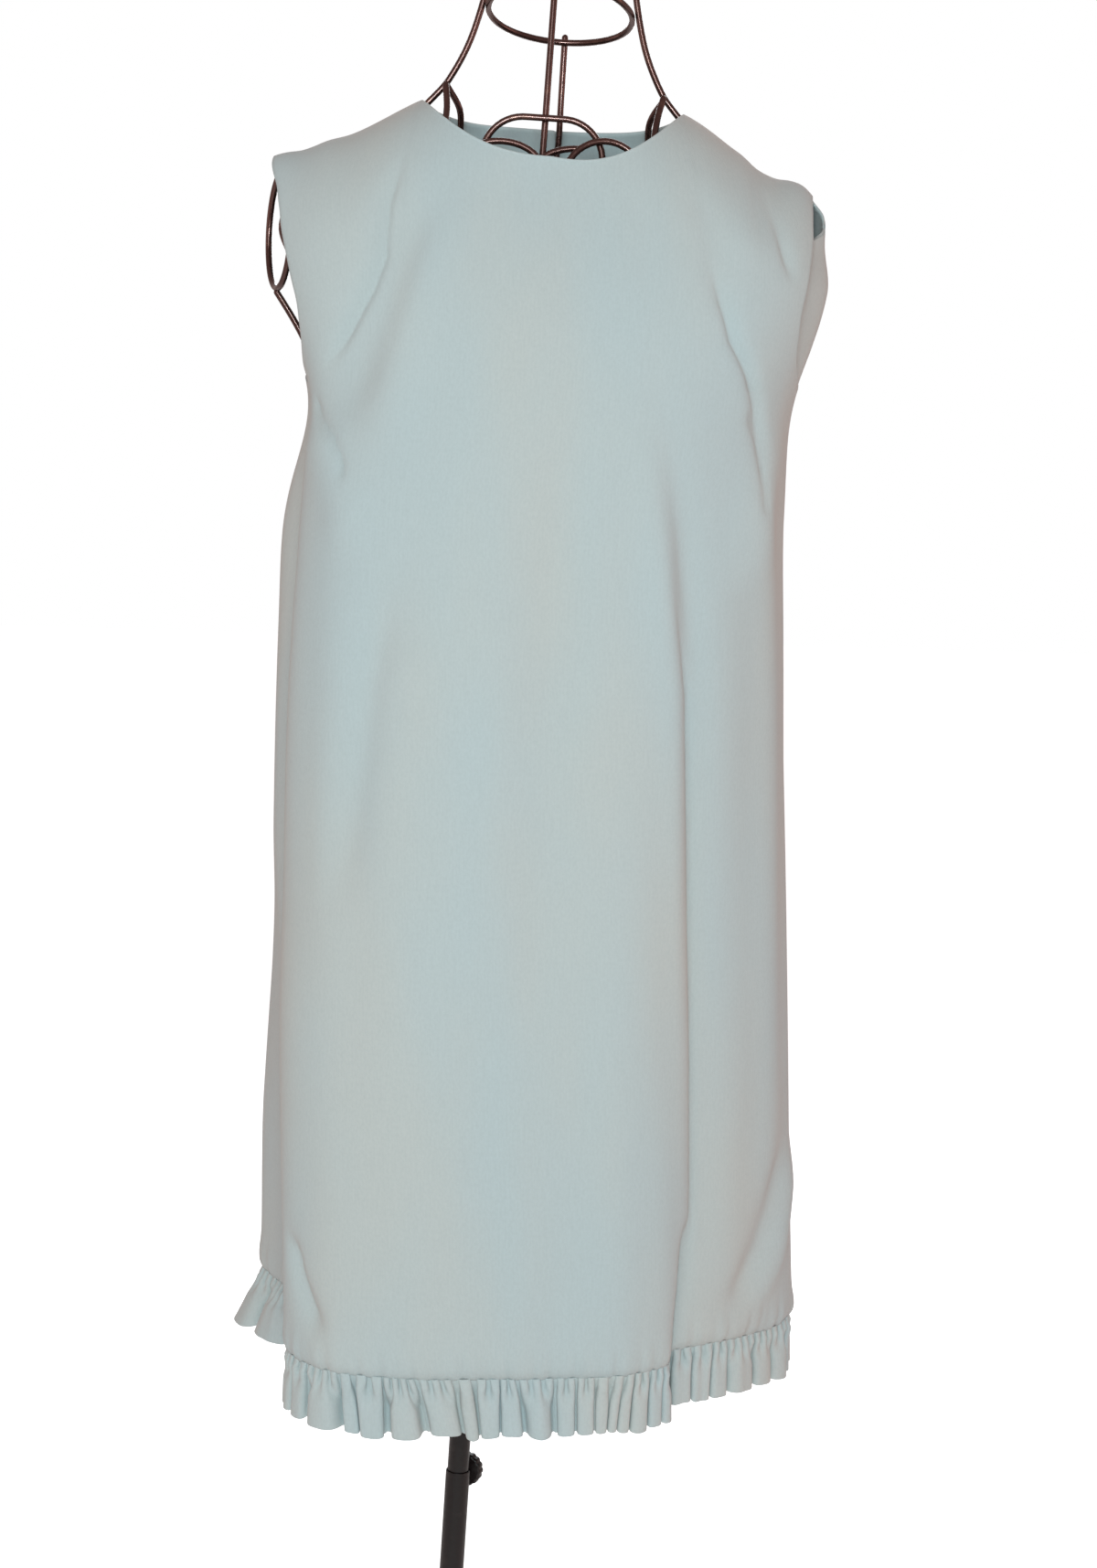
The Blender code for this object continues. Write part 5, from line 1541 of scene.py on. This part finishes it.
    def sides(self) -> None:
        """The shoulder wires under the cloth, the armholes' rings and curls, and the side wires."""
        ring = self.ARMHOLE
        foot = ring["z"] - ring["half_height"] - self.wire / 2 - self.gap * 1.6
        for side, word in ((-1, "left"), (1, "right")):
            neck = self.leaned(self.skin(90.0 * side, np.linspace(1.494, self.neck_joint_z, 40)))
            tip = self.leaned(self.armhole(side, np.zeros(1)))[0]
            inner = self.drape.neck_x + side * (self.drape.neck_half + 0.001)
            x = np.linspace(inner, tip[0] - side * (self.wire / 2 + self.gap * 3), 60)
            slope, line = self.drape.shoulder_slope(x) - self.gap * 7, self.drape.shoulder_line(x) - self.gap * 2
            height = np.minimum(slope, line) - self.half_cloth - self.wire / 2
            seam = np.stack([x, np.zeros(60), height], axis=-1)
            self.run(f"wire_shoulder_{word}", self.upright(np.concatenate([neck, seam])), soften=0.004)
            self.run(f"armhole_ring_{word}", self.armhole(side, round_angles(90)), closed=True)
            slant = np.array([[ring["x"], 0, foot], [0.162, 0, foot - 0.015], [0.1495, 0, foot - 0.035]])
            slant[:, 0] *= side
            surface = self.skin(90.0 * side, np.linspace(1.185, 0.885, 60))
            self.run(f"wire_side_{word}", np.concatenate([slant, surface]), soften=0.006)
            curl = np.linspace(0.0, 1.0, 60)
            rise = 0.018 - 0.032 * curl
            edge = ring["half_depth"] * np.sqrt(1.0 - (rise / ring["half_height"]) ** 2)
            y = -edge + (self.wire + self.gap) * 0.75 + 0.022 * np.sin(curl * math.pi)
            arc = np.stack([side * (ring["x"] + ring["turn"] * y), y, ring["z"] + rise], axis=-1)
            self.run(f"armhole_curl_{word}", arc)

    def on_front(self, x: Array, z: Array, layers: int) -> Array:
        """Points on the front of the neck, so many wires' thickness out from it."""
        out = self.front(z) + layers * (self.wire + self.gap * 1.3) - 0.9 * x**2
        return np.stack([x, -out, z], axis=-1)

    def ornament(self) -> None:
        """The arch and the three scrolls at the front of the neck."""
        half, corner, top, foot = 0.039, 0.026, 1.3685, 1.322
        quarter = np.radians(np.linspace(90, 0, 24))
        x = np.concatenate([np.linspace(0, half - corner, 8), half - corner + corner * np.cos(quarter), [half]])
        z = np.concatenate([np.full(8, top), top - corner + corner * np.sin(quarter), [foot]])
        self.run("neck_arch", self.on_front(np.concatenate([-x[:0:-1], x]), np.concatenate([z[:0:-1], z]), 1))
        for name, at_x, at_z, wide, tall, start, turns, layers in self.SCROLLS:
            share = np.linspace(0.0, 1.0, 90)
            angle = np.radians(start + 270.0 * turns * share)
            inward = 1.0 - 0.25 * share
            x, z = at_x + wide * inward * np.cos(angle), at_z + tall * inward * np.sin(angle)
            self.run(name, self.on_front(x, z, layers), step=0.002)

    def welds(self) -> None:
        """Small beads where the uprights cross the rings, all in one piece."""
        profile = softened([(0, -0.0026), (0.0026, -0.0018), (0.0030, 0.0), (0.0026, 0.0018), (0, 0.0026)], 0.0012)
        one = spun(profile, 12)
        made: Solid | None = None
        for spot in self.beads:
            bead = one.placed(Matrix.Translation(Vector(self.leaned(spot))))
            made = bead if made is None else made.with_piece(bead)
        show("weld_beads", made, self.weld, [])

    def build(self) -> None:
        """Makes every wire of the form."""
        self.rings()
        self.uprights()
        self.sides()
        self.ornament()
        self.welds()


@dataclass
class Stand:
    """The two-part pole, its clamp knob, the sockets and spokes that carry the form, and the round base."""

    paint: bpy.types.Material
    plastic: bpy.types.Material
    iron: bpy.types.Material
    bronze: bpy.types.Material
    form: WireForm
    pole_radius: float = 0.0075
    pole_top: float = 1.045
    pole_foot: float = 0.0145
    sleeve_radius: float = 0.0085
    sleeve_bore: float = 0.0078
    sleeve_top: float = 0.436
    bore_depth: float = 0.080
    knob_radius: float = 0.0120
    knob_thickness: float = 0.0080
    knob_z: float = 0.4315
    knob_bearing: float = 160.0
    base_radius: float = 0.150
    base_thickness: float = 0.012

    def on_axis(self, z: float = 0.0) -> Matrix:
        """The place of a turned piece at a height of the leaning axis."""
        return Matrix.Rotation(math.atan(self.form.lean), 4, "Y") @ Matrix.Translation((0.0, 0.0, z))

    def pole(self) -> None:
        """The thin upper pole, and the sleeve that it slides in, with a rolled lip."""
        r, top = self.pole_radius, self.pole_top
        floor = self.sleeve_top - self.bore_depth
        rest = floor + self.form.gap
        upper = softened([(0, rest), (r, rest), (r, top), (0, top)], 0.0018)
        show("pole_upper", spun(upper).placed(self.on_axis()), self.paint, ["pole_upper"])
        outer, bore, lip = self.sleeve_radius, self.sleeve_bore, self.sleeve_top
        foot = self.pole_foot
        lower = softened([(0, foot), (outer, foot), (outer, lip), (bore, lip), (bore, floor), (0, floor)], 0.0005)
        show("pole_lower", spun(lower).placed(self.on_axis()), self.paint, ["pole_lower"])

    def knob(self) -> None:
        """The round clamp knob: a stem, a fluted rim and a dished face."""
        place = self.on_axis(self.knob_z) @ Matrix.Rotation(math.radians(self.knob_bearing), 4, "Z")
        place = place @ Matrix.Rotation(math.radians(90), 4, "X")
        place = place @ Matrix.Translation((0, 0, self.sleeve_radius + self.form.gap))
        wide, thick, stem = self.knob_radius, self.knob_thickness, 0.0040
        profile = softened(
            [
                (0, 0), (0.0030, 0), (0.0030, stem), (wide - 0.0010, stem), (wide, stem + 0.0012),
                (wide, stem + thick - 0.0014), (wide - 0.0014, stem + thick), (wide * 0.55, stem + thick - 0.0006),
                (0, stem + thick - 0.0009),
            ],
            0.0008,
        )
        show("knob", spun(profile, 96, 16, 0.0007).placed(place), self.plastic, ["knob"])

    def sockets(self) -> None:
        """The collars on the pole and the four spokes from each to its ring."""
        form, wire, gap = self.form, self.form.wire, self.form.gap
        for word, z in (("waist", 1.030), ("bottom", 0.890)):
            inner, outer, tall = self.sleeve_bore, 0.0120, 0.015
            t = np.linspace(0.0, 2 * math.pi, 40, endpoint=False)
            middle, half = (inner + outer) / 2, (outer - inner) / 2
            square = (np.abs(np.cos(t)) ** 6 + np.abs(np.sin(t)) ** 6) ** (-1 / 6)
            profile = np.stack([middle + half * np.cos(t) * square, z + tall * np.sin(t) * square], axis=-1)
            show(f"socket_{word}", hooped(profile).placed(self.on_axis()), self.bronze, [f"socket_{word}"])
            for index, bearing in enumerate((0.0, 90.0, 180.0, 270.0), 1):
                ring = form.skin(bearing, z, -(wire + gap) - wire / 2 - gap * 2.6)
                far, turn = float(np.hypot(ring[0], ring[1])), math.radians(bearing)
                reach = np.linspace(outer + wire / 2 * 0.9, far - wire / 2 * 0.9, 20)
                line = np.stack([math.sin(turn) * reach, -math.cos(turn) * reach, np.full(20, z)], axis=-1)
                form.run(f"spoke_{word}_{index}", line, step=0.008)

    def base(self) -> None:
        """The round base: level on the floor, stepped towards a boss that leans with the pole.

        The ring at share s of the profile has the centre of the leaning axis at its height where it is part of the
        boss, and the origin where it is part of the plate.
        """
        wide, thick = self.base_radius, self.base_thickness
        profile = softened(
            [
                (0, 0), (wide - 0.001, 0), (wide, 0.0015), (wide, thick - 0.0045), (wide - 0.0045, thick - 0.0008),
                (wide - 0.022, thick), (0.040, thick + 0.0004), (0.0255, thick + 0.0012), (0.0220, thick + 0.0045),
                (0.0215, 0.027), (0.0150, 0.0338), (0.0092, 0.0340), (0.0088, 0.0330), (0.0088, 0.0143), (0, 0.0143),
            ],
            0.0022,
        )
        made = spun(profile, 128)
        share = ease((0.040 - np.hypot(made.points[:, 0], made.points[:, 1])) / 0.014)
        made.points[:, 0] += made.points[:, 2] * self.form.lean * share * (made.points[:, 2] > 0.001)
        show("base", made, self.iron, ["base"])

    def build(self) -> None:
        """Makes the stand."""
        self.pole()
        self.knob()
        self.sockets()
        self.base()


@dataclass(frozen=True)
class Lamp:
    """A soft square lamp and where it points from and to."""

    name: str
    at: tuple[float, float, float]
    to: tuple[float, float, float]
    size: float
    power: float
    colour: Colour


@dataclass
class Studio:
    """The floor, the lamps, the pale surroundings and the camera."""

    eye: tuple[float, float, float] = (0.069, -1.95, 1.1675)
    pitch: float = 7.06
    roll: float = 1.5
    focal: float = 3130.0 / 1715.0  # in heights of the picture
    lamps: tuple[Lamp, ...] = (
        Lamp("flash", (0.06, -2.10, 1.40), (0.05, 0.0, 0.95), 0.30, 18.6, (0.79, 0.97, 1.0)),
        Lamp("key", (-0.45, -2.30, 1.90), (0.05, 0.0, 0.95), 0.80, 10.4, (0.86, 0.98, 1.0)),
        Lamp("left_fill", (-2.5, -0.35, 1.3), (0.05, 0.0, 0.95), 1.4, 6.5, (1.0, 0.80, 0.73)),
        Lamp("right_fill", (2.5, -0.35, 1.2), (0.05, 0.0, 0.95), 1.4, 9.5, (1.0, 0.62, 0.55)),
        Lamp("back_fill", (0.3, 2.6, 2.0), (0.05, 0.0, 0.95), 1.8, 36.0, (0.88, 0.97, 1.0)),
    )
    ambient: Colour = (0.43, 0.335, 0.31)
    paper: Colour = (1.0, 1.0, 1.0)
    floor_glow: Colour = (0.64, 0.70, 0.72)
    floor_reach: float = 14.0
    floor_gap: float = 0.0002  # how far the floor lies under the stand
    film: float = 36.0  # millimetres, as wide as high

    def camera(self) -> None:
        """The camera at the photograph's place: level, pitched down, then rolled."""
        pitch, roll = math.radians(self.pitch), math.radians(self.roll)
        ahead = Vector((0.0, math.cos(pitch), -math.sin(pitch)))
        level = Vector((1.0, 0.0, 0.0))
        right = level * math.cos(roll) + level.cross(ahead) * math.sin(roll)
        up = right.cross(ahead)
        data = bpy.data.cameras.new("camera")
        data.sensor_width = data.sensor_height = self.film
        data.lens = self.focal * self.film
        data.clip_start, data.clip_end = 0.05, 60.0
        made = bpy.data.objects.new("camera", data)
        bpy.context.scene.collection.objects.link(made)
        made.matrix_world = Matrix.Translation(self.eye) @ Matrix((right, up, -ahead)).transposed().to_4x4()
        bpy.context.scene.camera = made

    def lights(self) -> None:
        """The lamps, square and soft."""
        for lamp in self.lamps:
            data = bpy.data.lights.new(lamp.name, "AREA")
            data.shape, data.size, data.energy, data.color = "SQUARE", lamp.size, lamp.power, lamp.colour
            made = bpy.data.objects.new(lamp.name, data)
            bpy.context.scene.collection.objects.link(made)
            at = Vector(lamp.at)
            turn = (at - Vector(lamp.to)).to_track_quat("Z", "Y").to_matrix().to_4x4()
            made.matrix_world = Matrix.Translation(at) @ turn

    def surroundings(self) -> None:
        """A pale floor, and a world that is white paper to the camera and a softer light to the object."""
        world = bpy.data.worlds.new("studio")
        bpy.context.scene.world = world
        world.use_nodes = True
        bench = Bench(world.node_tree)
        seen = bench.add("LightPath").outputs["Is Camera Ray"]
        paper = bench.add("Background", in_Color=(*self.paper, 1.0), in_Strength=1.0)
        soft = bench.add("Background", in_Color=(*self.ambient, 1.0), in_Strength=1.0)
        mixed = bench.add("MixShader", at_0=seen, at_1=soft.outputs[0], at_2=paper.outputs[0])
        bench.add("OutputWorld", in_Surface=mixed.outputs[0])
        signs = np.array([(-1, -1), (1, -1), (1, 1), (-1, 1)])
        corners = np.pad(signs * self.floor_reach, ((0, 0), (0, 1)), constant_values=-self.floor_gap)
        floor = Solid(corners, np.array([[0, 1, 2, 3]])).object("floor")
        made, b, shader = new_material("pale_floor")
        fleck = b.noise(b.add("TexCoord").outputs["Object"], 30.0, 2.0).outputs[0]
        b.feed(shader.inputs["Base Color"], b.blend(fleck, (0.90, 0.90, 0.90), (0.93, 0.93, 0.925)))
        seen = b.add("LightPath").outputs["Is Camera Ray"]
        b.feed(shader.inputs["Emission Color"], b.blend(seen, (0.0, 0.0, 0.0), self.floor_glow))
        set_inputs(shader, Roughness=0.9, Emission_Strength=1.0)
        floor.data.materials.append(made)

    def build(self) -> None:
        """Makes the studio and sets how its light is shown."""
        self.camera()
        self.lights()
        self.surroundings()
        bpy.context.scene.view_settings.view_transform = "Standard"


def main() -> None:
    """Builds the studio and the object in order."""
    logging.basicConfig(level=logging.INFO, format="%(name)s %(message)s")
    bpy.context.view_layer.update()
    effects = Effects()
    Studio().build()
    crepe = CrepeFinish().material(effects)
    bronze, weld, paint, plastic, iron = (f.material(effects) for f in (BRONZE, WELD, POLE_PAINT, KNOB_PLASTIC, IRON))
    dress = Dress(crepe)
    form = WireForm(bronze, weld, dress.drape)
    form.build()
    Stand(paint, plastic, iron, bronze, form).build()
    dress.build()


if __name__ == "__main__":
    main()
